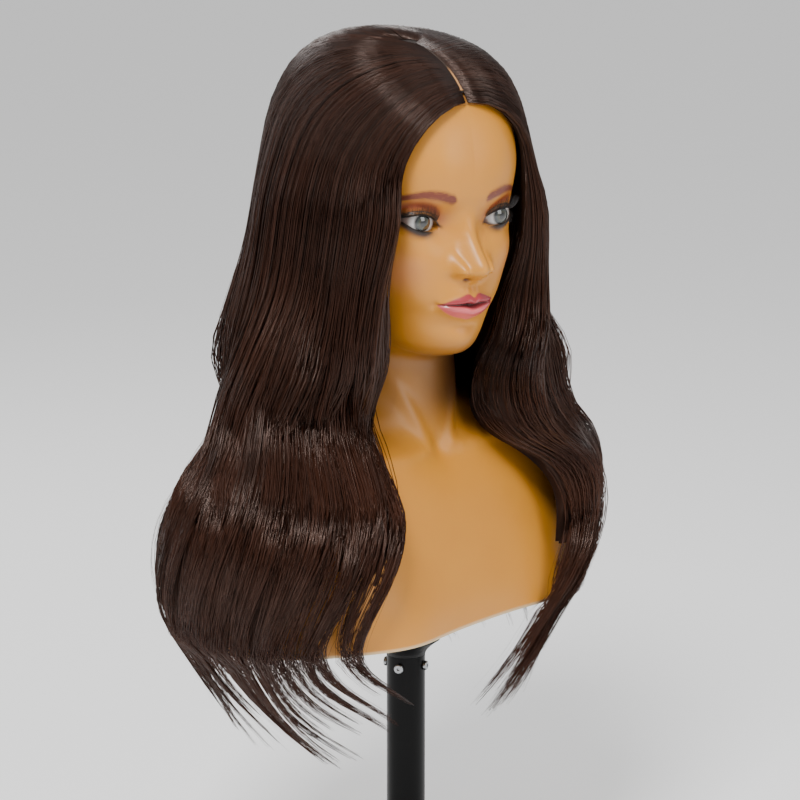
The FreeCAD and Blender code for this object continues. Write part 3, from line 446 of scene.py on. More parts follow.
def ring_at(t):
    """Ring values at places t along the stack: a Catmull-Rom spline, round-topped at the crown."""
    t = np.asarray(t, float)
    i = np.clip(t.astype(int), 0, LAST_RING - 1)
    s = (t - i)[..., None]
    a, b = RINGS[np.maximum(i - 1, 0)], RINGS[i]
    c, d = RINGS[i + 1], RINGS[np.minimum(i + 2, LAST_RING)]
    m0, m1 = (c - a) / 2, (d - b) / 2
    curve = b + s * m0 + s * s * (3 * (c - b) - 2 * m0 - m1) + s ** 3 * (2 * (b - c) + m0 + m1)
    dome = b + (c - b) * s
    dome[..., 3:6] = b[..., 3:6] + (c - b)[..., 3:6] * np.sqrt(s)
    return np.where((i == 0)[..., None], dome, curve)


def hill(value, centre, width):
    """A smooth hill: 1 at the centre, near 0 two widths away."""
    return np.exp(-(((value - centre) / width) ** 2))


def step(value, low, high):
    """A soft step from 0 at low to 1 at high."""
    s = np.clip((value - low) / (high - low), 0.0, 1.0)
    return s * s * (3 - 2 * s)


def posed(side, forward, height, share):
    """Head points nodded and turned about the neck, in millimetres of the whole object."""
    nod, turn = np.radians(HEAD_NOD) * share, np.radians(HEAD_TURN) * share
    f, h = forward - TURN_CENTRE_FORWARD, height - NOD_CENTRE_HEIGHT
    f, h = f * np.cos(nod) + h * np.sin(nod), h * np.cos(nod) - f * np.sin(nod)
    x = side * np.cos(turn) - f * np.sin(turn) + BUST_SIDESTEP * (1 - share) ** 4
    y = -(side * np.sin(turn) + f * np.cos(turn) + TURN_CENTRE_FORWARD)
    z = BUST_BOTTOM + NOD_CENTRE_HEIGHT + h
    return np.stack([x + HEAD_SHIFT[0] * share, y - HEAD_SHIFT[1] * share,
                     z + HEAD_SHIFT[2] * share], -1)


# %% [markdown]
# ## Face
# The features are soft hills and grooves added to the loft, each placed by its distance from the
# face's middle and its height above the chin: nose, lips, lids, chin, cheeks and brow. Working
# with hills keeps the surface smooth, and the same functions give the paint its masks.

# %% Face landmarks and relief
EYE_SPREAD, EYE_FORWARD, EYE_HEIGHT, EYE_RADIUS = 33.7, 65.3, 102.5, 16.0
INNER_CORNER = (19.6, 98.0)
OUTER_CORNER = (48.6, 104.6)
MOUTH_HALF = 23.8
MOUTH_HEIGHT = 43.6

NOSE_RIDGE = np.array([     # height above the chin, ridge's height over the loft, half width
    (57.0, 0.0, 10.0), (59.5, 3.0, 10.2), (61.5, 7.0, 10.4), (64.0, 13.0, 10.8), (67.5, 18.6, 11.0),
    (71.0, 20.8, 10.8), (74.5, 20.4, 10.0), (79.0, 17.2, 9.0), (84.0, 13.4, 7.9), (90.0, 9.6, 7.2),
    (96.0, 6.2, 7.2), (102.0, 4.0, 8.0), (108.0, 2.6, 9.5), (116.0, 1.0, 12.0), (124.0, 0.0, 14.0),
])


def lookup(table, column, value):
    """A table column read at a value, with its corners rounded by averaging nearby readings."""
    spread = (-1.2, 0.0, 1.2)
    return sum(np.interp(value + d, table[:, 0], table[:, column]) for d in spread) / len(spread)


def lid_lines(side):
    """Heights of the upper and lower lid margins, and the share of the way between the corners."""
    across = (np.abs(side) - INNER_CORNER[0]) / (OUTER_CORNER[0] - INNER_CORNER[0])
    inside = np.clip(across, 0.0, 1.0)
    middle = INNER_CORNER[1] + (OUTER_CORNER[1] - INNER_CORNER[1]) * across
    upper = middle + 6.4 * np.sin(np.pi * inside ** 0.9) ** 0.75
    lower = middle - 4.8 * np.sin(np.pi * inside ** 1.15) ** 0.8
    return upper, lower, across


def mouth_lines(side):
    """Heights of the upper lip's border, the mouth line and the lower lip's border."""
    across = np.clip(np.abs(side) / MOUTH_HALF, 0.0, 1.0)
    line = MOUTH_HEIGHT - 0.9 * across ** 2 - 1.0 * hill(np.abs(side), 0, 4)
    rise = np.clip(1 - across ** 1.7, 0, 1) ** 0.9
    bow = 8.0 + 0.9 * hill(np.abs(side), 5.0, 3.0) - 1.6 * hill(side, 0, 2.4)
    return line + bow * rise, line, line - 11.8 * np.clip(1 - across ** 2, 0, 1) ** 0.75


def eye_front(side, height):
    """How far forward the eyeball's surface stands, or a low value beyond the ball."""
    reach = EYE_RADIUS ** 2 - (np.abs(side) - EYE_SPREAD) ** 2 - (height - EYE_HEIGHT) ** 2
    return EYE_FORWARD + np.sqrt(np.maximum(reach, 0.0))


def soft_max(a, b, blend):
    """The larger of two surfaces, blended over a given distance."""
    share = np.clip(0.5 + 0.5 * (a - b) / blend, 0.0, 1.0)
    return b + (a - b) * share + blend * share * (1 - share)


def face_forward(side, height, forward):
    """The face's forward distance at each point, from the loft's own forward distance."""
    z = height - CHIN_ABOVE_EDGE
    s = np.abs(side)
    f = forward.copy()
    f += 5.6 * hill(z, 44, 15) * hill(side, 0, 20)                  # muzzle
    f += 3.4 * hill(z, 12, 10) * hill(side, 0, 15)                  # chin pad
    f -= 2.0 * hill(z, 26, 4.5) * hill(side, 0, 15)                 # fold under the lip
    f += 2.6 * hill(z, 79, 15) * hill(s, 42, 15)                    # cheekbone
    f += 1.8 * hill(z, 119, 7) * hill(s, 30, 18)                    # brow
    f += 1.5 * hill(z, 152, 22) * hill(s, 26, 18)                   # forehead
    f -= 4.6 * hill(z, 99, 10) * hill(s, 20.5, 9)                   # beside the nose bridge
    f -= 3.4 * hill(z, 106, 11) * hill(s, 37, 15)                   # eye socket
    f -= 1.1 * hill(side, 0, 2.6) * hill(z, 55, 4.5)                # philtrum
    f += 0.5 * hill(s, 4.6, 1.9) * hill(z, 54, 4)

    ridge_width = lookup(NOSE_RIDGE, 2, z)
    ridge = lookup(NOSE_RIDGE, 1, z) * np.exp(-np.abs(side / ridge_width) ** 2.3)
    wing_fall = np.where(z < 69.5, 5.4, 8.5)
    wing = 13.4 * np.exp(-(((s - 11.8) / 6.2) ** 2)) * np.exp(-(((z - 69.5) / wing_fall) ** 2))
    nose = (ridge ** 3.2 + wing ** 3.2 + 1e-9) ** (1 / 3.2)
    nose -= 4.2 * hill(s, 6.2, 2.9) * hill(z, 62.6, 2.1)            # nostril
    nose -= 1.0 * hill(s, 17.2, 2.0) * hill(z, 69, 6)               # crease behind the wing
    f += nose

    top, line, bottom = mouth_lines(side)
    reach = np.clip(1 - (s / (MOUTH_HALF + 1.0)) ** 2, 0, 1) ** 0.8
    f += 3.0 * hill(z, (top + line) / 2 - 0.3, 3.4) * reach
    f += 3.9 * hill(z, (bottom + line) / 2 + 0.2, 4.3) * reach
    part = 0.9 + 0.9 * hill(side, 0, 9)
    f -= (2.4 + 3.6 * hill(side, 0, 10)) * hill(z, line, part) * np.clip(reach * 3, 0, 1)
    f -= 1.4 * hill(s, MOUTH_HALF + 1.2, 2.6) * hill(z, MOUTH_HEIGHT - 1.2, 3.2)

    upper, lower, across = lid_lines(side)
    near_eye = step(s, 14.5, 20) * (1 - step(s, 50, 57)) * step(z, 86, 93) * (1 - step(z, 113, 121))
    lid = eye_front(side, z) + 1.3
    f = f + (soft_max(f, lid, 3.5) - f) * near_eye
    crease = upper + 3.6 - 1.0 * np.clip(across, 0, 1)
    f -= 1.1 * hill(z, crease, 0.9) * step(across, -0.05, 0.12) * (1 - step(across, 0.95, 1.12))
    open_up = step(upper - z, -0.35, 0.45) * step(z - lower, -0.35, 0.45)
    opening = open_up * step(across, 0.0, 0.03) * (1 - step(across, 0.97, 1.0))
    return f - 6.5 * opening * near_eye


def skin_grid(azimuth, t, detail=True):
    """Posed skin points for a grid of azimuths (degrees) and ring places, with the head-frame
    side, forward and height of each."""
    a, place = np.meshgrid(np.radians(azimuth), t)
    ring = ring_at(place)
    zf, zs, zb, front, width, back, nf, nb, centre, share = np.moveaxis(ring, -1, 0)
    s, c = np.sin(a), np.cos(a)
    ahead = c >= 0
    reach = np.maximum(np.where(ahead, front, back), 1e-6)
    n = np.where(ahead, nf, nb)
    height = np.where(ahead, zf, zb) * c * c + zs * s * s
    width = np.maximum(width, 1e-6)
    r = (np.abs(s / width) ** n + np.abs(c / reach) ** n) ** (-1.0 / n)
    side, forward = r * s, centre + r * c
    chest = 15.0 * hill(height, 0, 60) * (hill(side, 95, 42) + hill(side, -95, 42))
    forward = forward + np.where(ahead, chest * c, 0.0)
    if detail:
        near = np.where(ahead, step(c, 0.12, 0.45), 0.0) * step(share, 0.5, 0.95)
        forward = forward + near * (face_forward(side, height, forward) - forward)
        forward = body_relief(side, forward, height, ahead, c)
    return posed(side, forward, height, share), side, forward, height


def body_relief(side, forward, height, ahead, facing):
    """Collar bones, the hollows above them and the two neck cords, on the front of the bust."""
    s = np.abs(side)
    bone = 127.0 + 0.05 * s
    on = np.where(ahead, step(facing, 0.05, 0.4), 0.0)
    forward = forward + on * 3.2 * hill(height, bone, 5.5) * step(s, 8, 24) * (1 - step(s, 105, 150))
    forward = forward - on * 3.6 * hill(height, bone + 15, 8) * hill(s, 52, 24)
    forward = forward - on * 3.0 * hill(height, 128, 9) * hill(side, 0, 9)
    cord = 10.0 + 0.42 * (height - 125.0)
    on_neck = step(height, 118, 132) * (1 - step(height, 172, 198))
    return forward + on * 2.2 * hill(s, cord, 6.5) * on_neck


def outward(grid):
    """Unit normals of a grid of points, pointing away from the inside."""
    along = np.gradient(grid, axis=1)
    down = np.gradient(grid, axis=0)
    normal = np.cross(down, along)
    size = np.linalg.norm(normal, axis=-1, keepdims=True)
    return normal / np.maximum(size, 1e-9)


# %% [markdown]
# ## Shells
# The front and back half shells meet at the sides. The front one needs a fine mesh over the face
# and a coarse one elsewhere, so the grid lines crowd together round the features. The inner wall
# follows the plain loft, three millimetres in.

# %% Half shells
def crowded(start, stop, count, focus, width, pull):
    """Places from start to stop that crowd round a focus: equal steps of a density's integral."""
    fine = np.linspace(start, stop, 4000)
    density = 1.0 + pull * hill(fine, focus, width)
    total = np.concatenate([[0], np.cumsum((density[1:] + density[:-1]) / 2)])
    return np.interp(np.linspace(0, total[-1], count), total, fine)


def face_masks(side, height, ahead):
    """Where each paint goes on the face: 0 or 1 with soft edges."""
    z = height - CHIN_ABOVE_EDGE
    s = np.abs(side)
    top, line, bottom = mouth_lines(side)
    lips = step(top - z, -0.5, 0.5) * step(z - bottom, -0.6, 0.8) * (s < MOUTH_HALF + 0.6)
    upper, lower, across = lid_lines(side)
    on_lid = step(across, -0.12, 0.02) * (1 - step(across, 1.02, 1.14))
    liner = hill(z, upper + 0.9, 1.25) * on_lid
    liner = liner + hill(z, lower - 1.1, 1.5) * on_lid * step(across, 0.02, 0.5)
    wing = hill(z, upper + 1.6 * step(across, 0.9, 1.2), 1.5)
    wing = wing * step(across, 0.85, 1.0) * (1 - step(across, 1.1, 1.3))
    crease = hill(z, upper + 3.6 - 1.0 * np.clip(across, 0, 1), 0.62)
    crease = crease * step(across, 0.02, 0.2) * (1 - step(across, 0.95, 1.08))
    smoke = hill(z, lower - 2.4, 3.0) * step(across, -0.05, 0.5) * (1 - step(across, 1.0, 1.25))
    shade = hill(z, upper + 7.2, 4.6) * step(across, -0.25, 0.25) * (1 - step(across, 0.9, 1.35))
    inner = hill(s, 19.0, 5.5) * hill(z, 104, 9)
    arch = 119.2 + 5.2 * np.sin(np.pi * np.clip((s - 12.5) / 42.0, 0, 1) ** 1.05) ** 1.1 - 0.02 * s
    thick = 5.0 * (1 - 0.62 * step(s, 20, 54)) * step(s, 10.0, 16.5)
    brow = (1 - step(np.abs(z - arch), 0.55, 1.05 + thick)) * step(s, 11.5, 15.5) * (1 - step(s, 49, 54))
    blush = hill(s, 49, 14) * hill(z, 66, 17)
    # nostril and gap feed the mask dark: painted shade inside the nostrils and in the gap between the
    # parted lips
    nostril = hill(s, 6.4, 2.3) * hill(z, 62.2, 1.6)
    gap = hill(z, line - 0.1, 0.7 + 0.75 * hill(side, 0, 8)) * np.clip(1.25 - (s / (MOUTH_HALF)) ** 2, 0, 1)
    lip_shade = np.clip(step(z, line - 0.5, line + 0.8) + 0.4 * hill(z, line, 2.5), 0, 1)
    masks = dict(lips=lips, lip_shade=lip_shade, liner=np.clip(liner + wing + crease, 0, 1),
                 smoke=smoke, shade=shade, inner=inner, brow=brow, blush=blush,
                 dark=np.clip(nostril + gap * lips, 0, 1))
    return {k: np.clip(np.where(ahead, v, 0.0), 0, 1) for k, v in masks.items()}


FACE_BOTTOM = 18.0              # the ring place where the face's paint stops
crown_rows = np.array([0.0, 0.06, 0.16, 0.3, 0.5, 0.75, 1.0, 1.4, 1.8, 2.3])
face_rows = crowded(2.8, 17.4, 237, 12.0, 3.6, 1.6)
body_rows = np.linspace(17.65, LAST_RING, 66)
skin_rows = np.concatenate([crown_rows, face_rows, body_rows])
front_azimuths = crowded(-90.0, 90.0, 262, 0.0, 34.0, 3.4)
back_azimuths = np.linspace(90.0, 270.0, 97)
back_rows = np.concatenate([crown_rows, np.linspace(2.8, LAST_RING, 111)])


def half_shell(name, azimuths, rows):
    """Outer skin with its features and an inner skin one wall thickness in from the plain loft."""
    outer, side, forward, height = skin_grid(azimuths, rows)
    plain = skin_grid(azimuths, rows, detail=False)[0]
    inner = plain - outward(plain) * SHELL_WALL
    sunk = np.minimum(np.einsum("ijk,ijk->ij", outer - inner, outward(plain)) - 2.0, 0.0)
    inner = inner + outward(plain) * sunk[..., None]
    inner[0] = outer[0] - np.array([0.0, 0.0, SHELL_WALL])
    inner[-1, :, 2] = BUST_BOTTOM
    outer[-1, :, 2] = BUST_BOTTOM
    ahead = np.cos(np.radians(azimuths))[None, :] * np.ones_like(side) > 0.05
    masks = face_masks(side, height, ahead & (rows[:, None] < FACE_BOTTOM))
    # painted shade under the jaw and chin, darker on the side away from the key lamp
    below = step(height, 118, 168) * (1 - step(height, CHIN_ABOVE_EDGE - 6, CHIN_ABOVE_EDGE + 22))
    masks["painted_shade_under_jaw"] = below * (0.42 + 0.58 * step(side, -30, 26))
    masks["edge"] = np.broadcast_to(1 - step(height, 1.6, 2.6), side.shape)
    uv = {"across": side, "above": height - CHIN_ABOVE_EDGE}
    piece = closed_wall(name, outer * MM, inner * MM, {**masks, **uv})
    print(name, "points", len(piece.data.vertices), "faces", len(piece.data.polygons))
    return piece


skins = {"front": half_shell("front_skin", front_azimuths, skin_rows),
         "back": half_shell("back_skin", back_azimuths, back_rows)}
for hand, piece in skins.items():
    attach(piece, "bust")
    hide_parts(hand + "_shell")

# %% [markdown]
# ## Painted skin
# A training head is moulded in a skin tone and its make-up is sprayed and brushed on. The paints
# are masks kept on the mesh's points: lips, liner, crease, smoky lids, eye shadow, brows and blush.
# Painted shade goes under the jaw, in the nostrils and between the lips. All are mixed one over
# another. Gloss goes up on the lips, and the raw cut edge is left pale.

# %% Skin finish
def skin_finish():
    """Mottled skin colour with each paint laid over it in turn."""
    skin = Finish("skin_paint", rgb(205, 160, 112), 0.42, IOR=1.45, Coat_Weight=0.12,
                  Coat_Roughness=0.3, Subsurface_Weight=0.12, Subsurface_Scale=0.004,
                  Subsurface_Radius=(1.0, 0.4, 0.2))
    color = skin.mottle(rgb(196, 130, 38), rgb(180, 115, 30), 34.0, 0.55)
    # painted shade under the jaw and chin
    color = skin.paint(color, rgb(50, 24, 8), skin.between(skin.attribute("painted_shade_under_jaw"), 0.0, 0.96))
    color = skin.paint(color, rgb(196, 120, 84), skin.between(skin.attribute("blush"), 0.0, 0.5))
    color = skin.paint(color, rgb(150, 92, 60), skin.between(skin.attribute("inner"), 0.0, 0.45))
    color = skin.paint(color, rgb(142, 62, 26), skin.between(skin.attribute("shade"), 0.0, 1.0))
    color = skin.paint(color, rgb(52, 36, 32), skin.between(skin.attribute("smoke"), 0.0, 0.95))
    color = skin.paint(color, rgb(20, 14, 13), skin.attribute("liner"))
    brow = skin.tree.nodes.new("ShaderNodeCombineXYZ")
    skin.tree.links.new(skin.attribute("across"), brow.inputs["X"])
    skin.tree.links.new(skin.attribute("above"), brow.inputs["Y"])
    slant = skin.tree.nodes.new("ShaderNodeMapping")
    slant.inputs["Rotation"].default_value = (0.0, 0.0, math.radians(32.0))
    slant.inputs["Scale"].default_value = (0.28, 1.7, 1.0)
    strokes = skin.tree.nodes.new("ShaderNodeTexNoise")
    strokes.inputs["Scale"].default_value = 1.0
    strokes.inputs["Detail"].default_value = 2.0
    skin.tree.links.new(brow.outputs["Vector"], slant.inputs["Vector"])
    skin.tree.links.new(slant.outputs["Vector"], strokes.inputs["Vector"])
    hairs = skin.between(strokes.outputs["Fac"], 0.0, 2.5)
    drawn = skin.tree.nodes.new("ShaderNodeMath")
    drawn.operation = "MULTIPLY"
    drawn.use_clamp = True
    skin.tree.links.new(hairs, drawn.inputs[0])
    skin.tree.links.new(skin.attribute("brow"), drawn.inputs[1])
    color = skin.paint(color, rgb(104, 42, 22), drawn.outputs["Value"])
    lip_tone = skin.paint(rgb(206, 92, 96), rgb(150, 50, 56), skin.attribute("lip_shade"))
    color = skin.paint(color, lip_tone, skin.attribute("lips"))
    # painted shade in the nostrils and between the parted lips
    color = skin.paint(color, rgb(60, 18, 14), skin.attribute("dark"))
    color = skin.paint(color, rgb(222, 200, 160), skin.attribute("edge"))
    skin.link(color, "Base Color")
    skin.between(skin.attribute("lips"), 0.44, 0.22, "Roughness")
    skin.grain(900.0, 0.12)
    return skin


skin = skin_finish()
for piece in skins.values():
    dress(piece, skin)

# %% [markdown]
# ## Eyes
# An inset eye is an acrylic half ball: a white with a printed iris under a clear raised cornea. One
# closed surface of revolution about the eye's own axis gives both, with the colour rings read from
# an attribute that holds the distance from the axis.

# %% Eyeballs
IRIS_RADIUS = 6.1
PUPIL_RADIUS = 2.3
CORNEA_RISE = 0.9
EYE_BACK = 0.72
GAZE = np.radians(4.0)
RING_SPAN = 12.0                # distance from the axis, in millimetres, at the colour ramp's end
EYE_ROWS, EYE_COLUMNS = 90, 72


def head_point(side, forward, above_chin):
    """A point given in the turned head's own frame, in metres."""
    return posed(np.asarray(side, float), np.asarray(forward, float),
                 np.asarray(above_chin, float) + CHIN_ABOVE_EDGE, 1.0) * MM


def eyeball(hand):
    """Radius against angle from the axis: the ball, plus a small dome over the iris."""
    angle = np.linspace(0, math.pi * EYE_BACK, EYE_ROWS)
    turn = np.linspace(0, 2 * math.pi, EYE_COLUMNS, endpoint=False)
    off_axis = EYE_RADIUS * np.sin(angle)
    dome = np.clip(1 - (off_axis / (IRIS_RADIUS + 0.8)) ** 2, 0, 1) * (angle < 1.5)
    radius = EYE_RADIUS + CORNEA_RISE * dome
    a, t = np.meshgrid(angle, turn, indexing="ij")
    r = np.broadcast_to(radius[:, None], a.shape)
    sideways, up, ahead = r * np.sin(a) * np.cos(t), r * np.sin(a) * np.sin(t), r * np.cos(a)
    look = GAZE * hand
    sideways, ahead = (sideways * np.cos(look) + ahead * np.sin(look),
                       ahead * np.cos(look) - sideways * np.sin(look))
    points = head_point(hand * EYE_SPREAD + sideways, EYE_FORWARD + ahead, EYE_HEIGHT + up)
    count = points.size // 3
    centre = head_point(hand * EYE_SPREAD, EYE_FORWARD - EYE_RADIUS * 0.6, EYE_HEIGHT)
    flat = np.concatenate([points.reshape(-1, 3), centre[None]])
    rim = np.arange(count - EYE_COLUMNS, count)
    cap = np.stack([rim, np.roll(rim, -1), np.full(EYE_COLUMNS, count)], -1)
    rings = np.concatenate([np.broadcast_to(off_axis[:, None], a.shape).ravel(), [EYE_RADIUS]])
    spoke = np.concatenate([t.ravel(), [0.0]])
    piece = make_object("eye_" + ("left" if hand > 0 else "right") + "_ball", flat,
                        [grid_faces(EYE_ROWS, EYE_COLUMNS, wrap_columns=True), cap],
                        {"ring": rings, "spoke": spoke})
    return weld(piece)


def eye_finish():
    """Rings of colour from the axis outwards: pupil, spoked grey-green iris, dark limbus, white."""
    eye = Finish("eye_acrylic", rgb(225, 220, 212), 0.08, IOR=1.49, Coat_Weight=1.0,
                 Coat_Roughness=0.02)
    ring = eye.attribute("ring")
    ramp = eye.tree.nodes.new("ShaderNodeValToRGB")
    scaled = eye.between(ring, 0.0, 1.0)
    span = scaled.node
    span.inputs["From Max"].default_value = RING_SPAN
    eye.tree.links.new(scaled, ramp.inputs["Fac"])
    rings = ((PUPIL_RADIUS, rgb(6, 6, 8)), (2.7, rgb(62, 56, 36)), (4.2, rgb(48, 56, 48)),
             (5.2, rgb(28, 34, 36)), (5.8, rgb(8, 10, 12)), (6.4, rgb(110, 106, 102)),
             (7.4, rgb(178, 174, 170)))
    stops = ((0.0, rgb(6, 6, 8)), *((radius / RING_SPAN, color) for radius, color in rings),
             (0.95, rgb(120, 100, 92)))
    elements = ramp.color_ramp.elements
    elements[0].position, elements[0].color = stops[0]
    elements[1].position, elements[1].color = stops[-1]
    for place, color in stops[1:-1]:
        elements.new(place).color = color
    combined = eye.tree.nodes.new("ShaderNodeCombineXYZ")
    eye.tree.links.new(eye.attribute("spoke"), combined.inputs["X"])
    noise = eye.tree.nodes.new("ShaderNodeTexNoise")
    noise.inputs["Scale"].default_value = 9.0
    noise.inputs["Detail"].default_value = 3.0
    eye.tree.links.new(combined.outputs["Vector"], noise.inputs["Vector"])
    spokes = eye.between(noise.outputs["Fac"], -0.3, 0.75)
    dark = eye.paint(ramp.outputs["Color"], rgb(30, 34, 30), spokes)
    inside = eye.between(ring, 1.0, 0.0)
    inside.node.inputs["From Min"].default_value = IRIS_RADIUS - 0.6
    inside.node.inputs["From Max"].default_value = IRIS_RADIUS
    eye.link(eye.paint(ramp.outputs["Color"], dark, inside), "Base Color")
    return eye


eye_paint = eye_finish()
for hand, name in ((-1, "right"), (1, "left")):
    ball = dress(eyeball(hand), eye_paint)
    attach(ball, "bust")
    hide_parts("eye_" + name)

# %% [markdown]
# ## Lashes
# False lashes are a strip of thin curved fibres glued along the lid. Each fibre is a tapered tube
# on a curve that leaves the lid forwards and then turns up. All the fibres of one strip go into
# one mesh, as whole arrays.

# %% Tubes and lashes
TUBE_SIDES = 3


def tubes(name, lines, radii, attributes=None):
    """Closed tapered tubes. lines is count x steps x 3, radii is count x steps. Each ring is set
    square to the line by one fixed up direction, so a smooth line gives a smooth tube."""
    count, steps = lines.shape[:2]
    along = np.gradient(lines, axis=1)
    along /= np.maximum(np.linalg.norm(along, axis=-1, keepdims=True), 1e-12)
    up = np.broadcast_to(np.array([0.31, 0.17, 0.93]), along.shape)
    first = np.cross(along, up)
    first /= np.maximum(np.linalg.norm(first, axis=-1, keepdims=True), 1e-9)
    second = np.cross(along, first)
    sides = TUBE_SIDES
    turn = np.arange(sides) * 2 * math.pi / sides
    ring = (first[:, :, None, :] * np.cos(turn)[:, None]
            + second[:, :, None, :] * np.sin(turn)[:, None])
    points = lines[:, :, None, :] + ring * radii[:, :, None, None]
    tube = np.arange(count)[:, None, None] * steps * sides
    i, j = np.meshgrid(np.arange(steps - 1), np.arange(sides), indexing="ij")
    j2 = (j + 1) % sides
    quad = np.stack([i * sides + j, i * sides + j2, (i + 1) * sides + j2, (i + 1) * sides + j], -1)
    quads = (tube[..., None] + quad.reshape(1, -1, 1, 4)).reshape(-1, 4)
    start = np.arange(sides)[::-1]
    caps = np.stack([start, start[::-1] + (steps - 1) * sides])
    ends = (np.arange(count)[:, None, None] * steps * sides + caps[None]).reshape(-1, sides)
    values = {k: np.repeat(v.reshape(-1), sides) for k, v in (attributes or {}).items()}
    return make_object(name, points.reshape(-1, 3), [quads, ends], values)


def lashes(hand, upper, count, reach, name):
    """Fibres from the lid margin: out along the gaze, curling up (or down below the eye)."""
    across = np.linspace(0.05, 1.02, count) + random.normal(0, 0.004, count)
    side = INNER_CORNER[0] + (OUTER_CORNER[0] - INNER_CORNER[0]) * across
    top, low, _ = lid_lines(side)
    height = (top + 0.2) if upper else (low - 0.3)
    root_forward = eye_front(side, height) + 0.9
    length = reach * (0.6 + 0.5 * np.sin(math.pi * np.clip(across, 0, 1)) ** 0.6 + 0.25 * across)
    length = length * random.uniform(0.85, 1.12, count)
    s = np.linspace(0, 1, 9)
    fan = (across - 0.42) * 0.75 + random.normal(0, 0.07, count)
    rise = (0.95 if upper else -0.55) * length[:, None] * s ** 1.7
    ahead = length[:, None] * (0.85 * s - 0.25 * s ** 2)
    outward_side = length[:, None] * fan[:, None] * s
    lines = head_point(hand * (side[:, None] + outward_side), root_forward[:, None] + ahead,
                       height[:, None] + rise)
    radii = np.broadcast_to(0.16 * (1 - 0.85 * s), (count, len(s))) * MM
    return tubes(name, lines, radii)


lash_fibre = Finish("lash_fibre", rgb(14, 11, 11), 0.5)
lash_fibre.mottle(rgb(12, 9, 9), rgb(34, 24, 20), 300.0, 0.6)
for hand, name in ((-1, "right"), (1, "left")):
    upper = dress(lashes(hand, True, 120, 8.5, "lashes_upper_" + name), lash_fibre)
    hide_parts("upper_lash_" + name)
    lower = dress(lashes(hand, False, 60, 3.6, "lashes_lower_" + name), lash_fibre)
    for piece in (upper, lower):
        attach(piece, "bust")

# %% [markdown]
# ## Where the hair may hang
# Long hair falls from the widest place above it: the ear, the jaw or the shoulder. So the scene
# first measures the skin's shadow, which is how far out the head and bust reach at each height or
# above it, seen from straight above. The hair's inner and outer radius follow from that. Two
# outlines then set how far the hair bulges on the right and on the left, the innermost hair
# follows the neck instead of the jaw, and below the bust's edge both radii turn inwards.

# %% Shadow and hair room
SHADOW_AZIMUTHS, SHADOW_LEVELS = 120, 90
SHADOW_LEVEL = 5.0              # height of one level
HAIR_CLEARANCE = 2.5
FRONT_FULLNESS, BACK_FULLNESS = 21.0, 36.0
SHOULDER_HAIR, SHOULDER_TOP = 13.0, 128.0
NECK_FLARE, NECK_FLARE_TOP = 20.0, 275.0
TUCK = 0.85                     # how far the inner hair follows the neck instead of the jaw's shadow

# a height, and the hair's outer radius there: behind on the right, and in front on the left
RIGHT_OUTLINE = np.array([
    (220, 146), (250, 158), (300, 168), (345, 165), (368, 160), (391, 147),
    (430, 147), (470, 138), (500, 131), (540, 119), (578, 114), (632, 103),
])
LEFT_OUTLINE = np.array([
    (250, 142), (297, 149), (326, 149), (353, 147), (374, 141), (394, 130),
    (405, 120), (416, 110), (440, 105), (480, 106), (540, 108), (600, 106),
])


def skin_shadow():
    """Greatest radius about the pole at each azimuth and level, carried down from above."""
    points = skin_grid(np.arange(0, 360, 1.5), np.linspace(0.05, LAST_RING, 400), detail=False)[0]
    azimuth = np.degrees(np.arctan2(points[..., 0], -points[..., 1])) % 360
    cell = np.round(azimuth / 360 * SHADOW_AZIMUTHS).astype(int) % SHADOW_AZIMUTHS
    level = np.clip((points[..., 2] - BUST_BOTTOM) / SHADOW_LEVEL, 0, SHADOW_LEVELS - 1)
    level = level.astype(int)
    reach = np.zeros((SHADOW_AZIMUTHS, SHADOW_LEVELS))
    np.maximum.at(reach, (cell, level), np.hypot(points[..., 0], points[..., 1]))
    above = np.maximum.accumulate(reach[:, ::-1], axis=1)[:, ::-1]
    near = np.maximum(reach, np.maximum(np.roll(reach, 1, axis=1), np.roll(reach, -1, axis=1)))
    return [(np.max([np.roll(r, k, axis=0) for k in (-2, -1, 0, 1, 2)], axis=0)
             + sum(np.roll(r, k, axis=0) for k in (-2, -1, 0, 1, 2)) / 5) / 2 for r in (above, near)]


SHADOW, REACH = skin_shadow()


def shadow(azimuth, z, table=SHADOW):
    """A table's radius at any azimuth (degrees) and height (mm), between its cells."""
    a = (azimuth % 360) / 360 * SHADOW_AZIMUTHS
    h = np.clip((z - BUST_BOTTOM) / SHADOW_LEVEL - 0.5, 0, SHADOW_LEVELS - 1.001)
    i, j = a.astype(int), h.astype(int)
    s, r = a - i, h - j
    i, i2 = i % SHADOW_AZIMUTHS, (i + 1) % SHADOW_AZIMUTHS
    low = table[i, j] * (1 - r) + table[i, j + 1] * r
    high = table[i2, j] * (1 - r) + table[i2, j + 1] * r
    return low * (1 - s) + high * s


def hair_room(azimuth, z):
    """Inner and outer radius of the hanging hair."""
    above_edge = z - BUST_BOTTOM
    inner = shadow(azimuth, z) + HAIR_CLEARANCE
    backness = 0.5 - 0.5 * np.cos(np.radians(azimuth))
    full = FRONT_FULLNESS + (BACK_FULLNESS - FRONT_FULLNESS) * backness
    full = full + NECK_FLARE * backness * step(NECK_FLARE_TOP - above_edge, 0, 90)
    upper = step(above_edge, SHOULDER_TOP, SHOULDER_TOP + 60)
    outer = inner + SHOULDER_HAIR + (full - SHOULDER_HAIR) * upper
    for outline, middle, width in ((RIGHT_OUTLINE, 222.0, 48.0), (LEFT_OUTLINE, 48.0, 38.0)):
        share = hill((azimuth - middle + 180) % 360 - 180, 0, width)
        outer = outer + (np.interp(z, outline[:, 0], outline[:, 1]) - outer) * share
    outer = np.maximum(outer, inner + 6.0)
    ends = np.clip((18.0 - above_edge) / 98.0, 0, 1.3) ** 1.1 * 56.0
    tuck = TUCK * step(above_edge, 50, 105) * (1 - step(above_edge, 235, 290))
    own = shadow(azimuth, z, REACH) + 4.0
    return inner + (np.minimum(own, inner) - inner) * tuck - ends, outer - ends


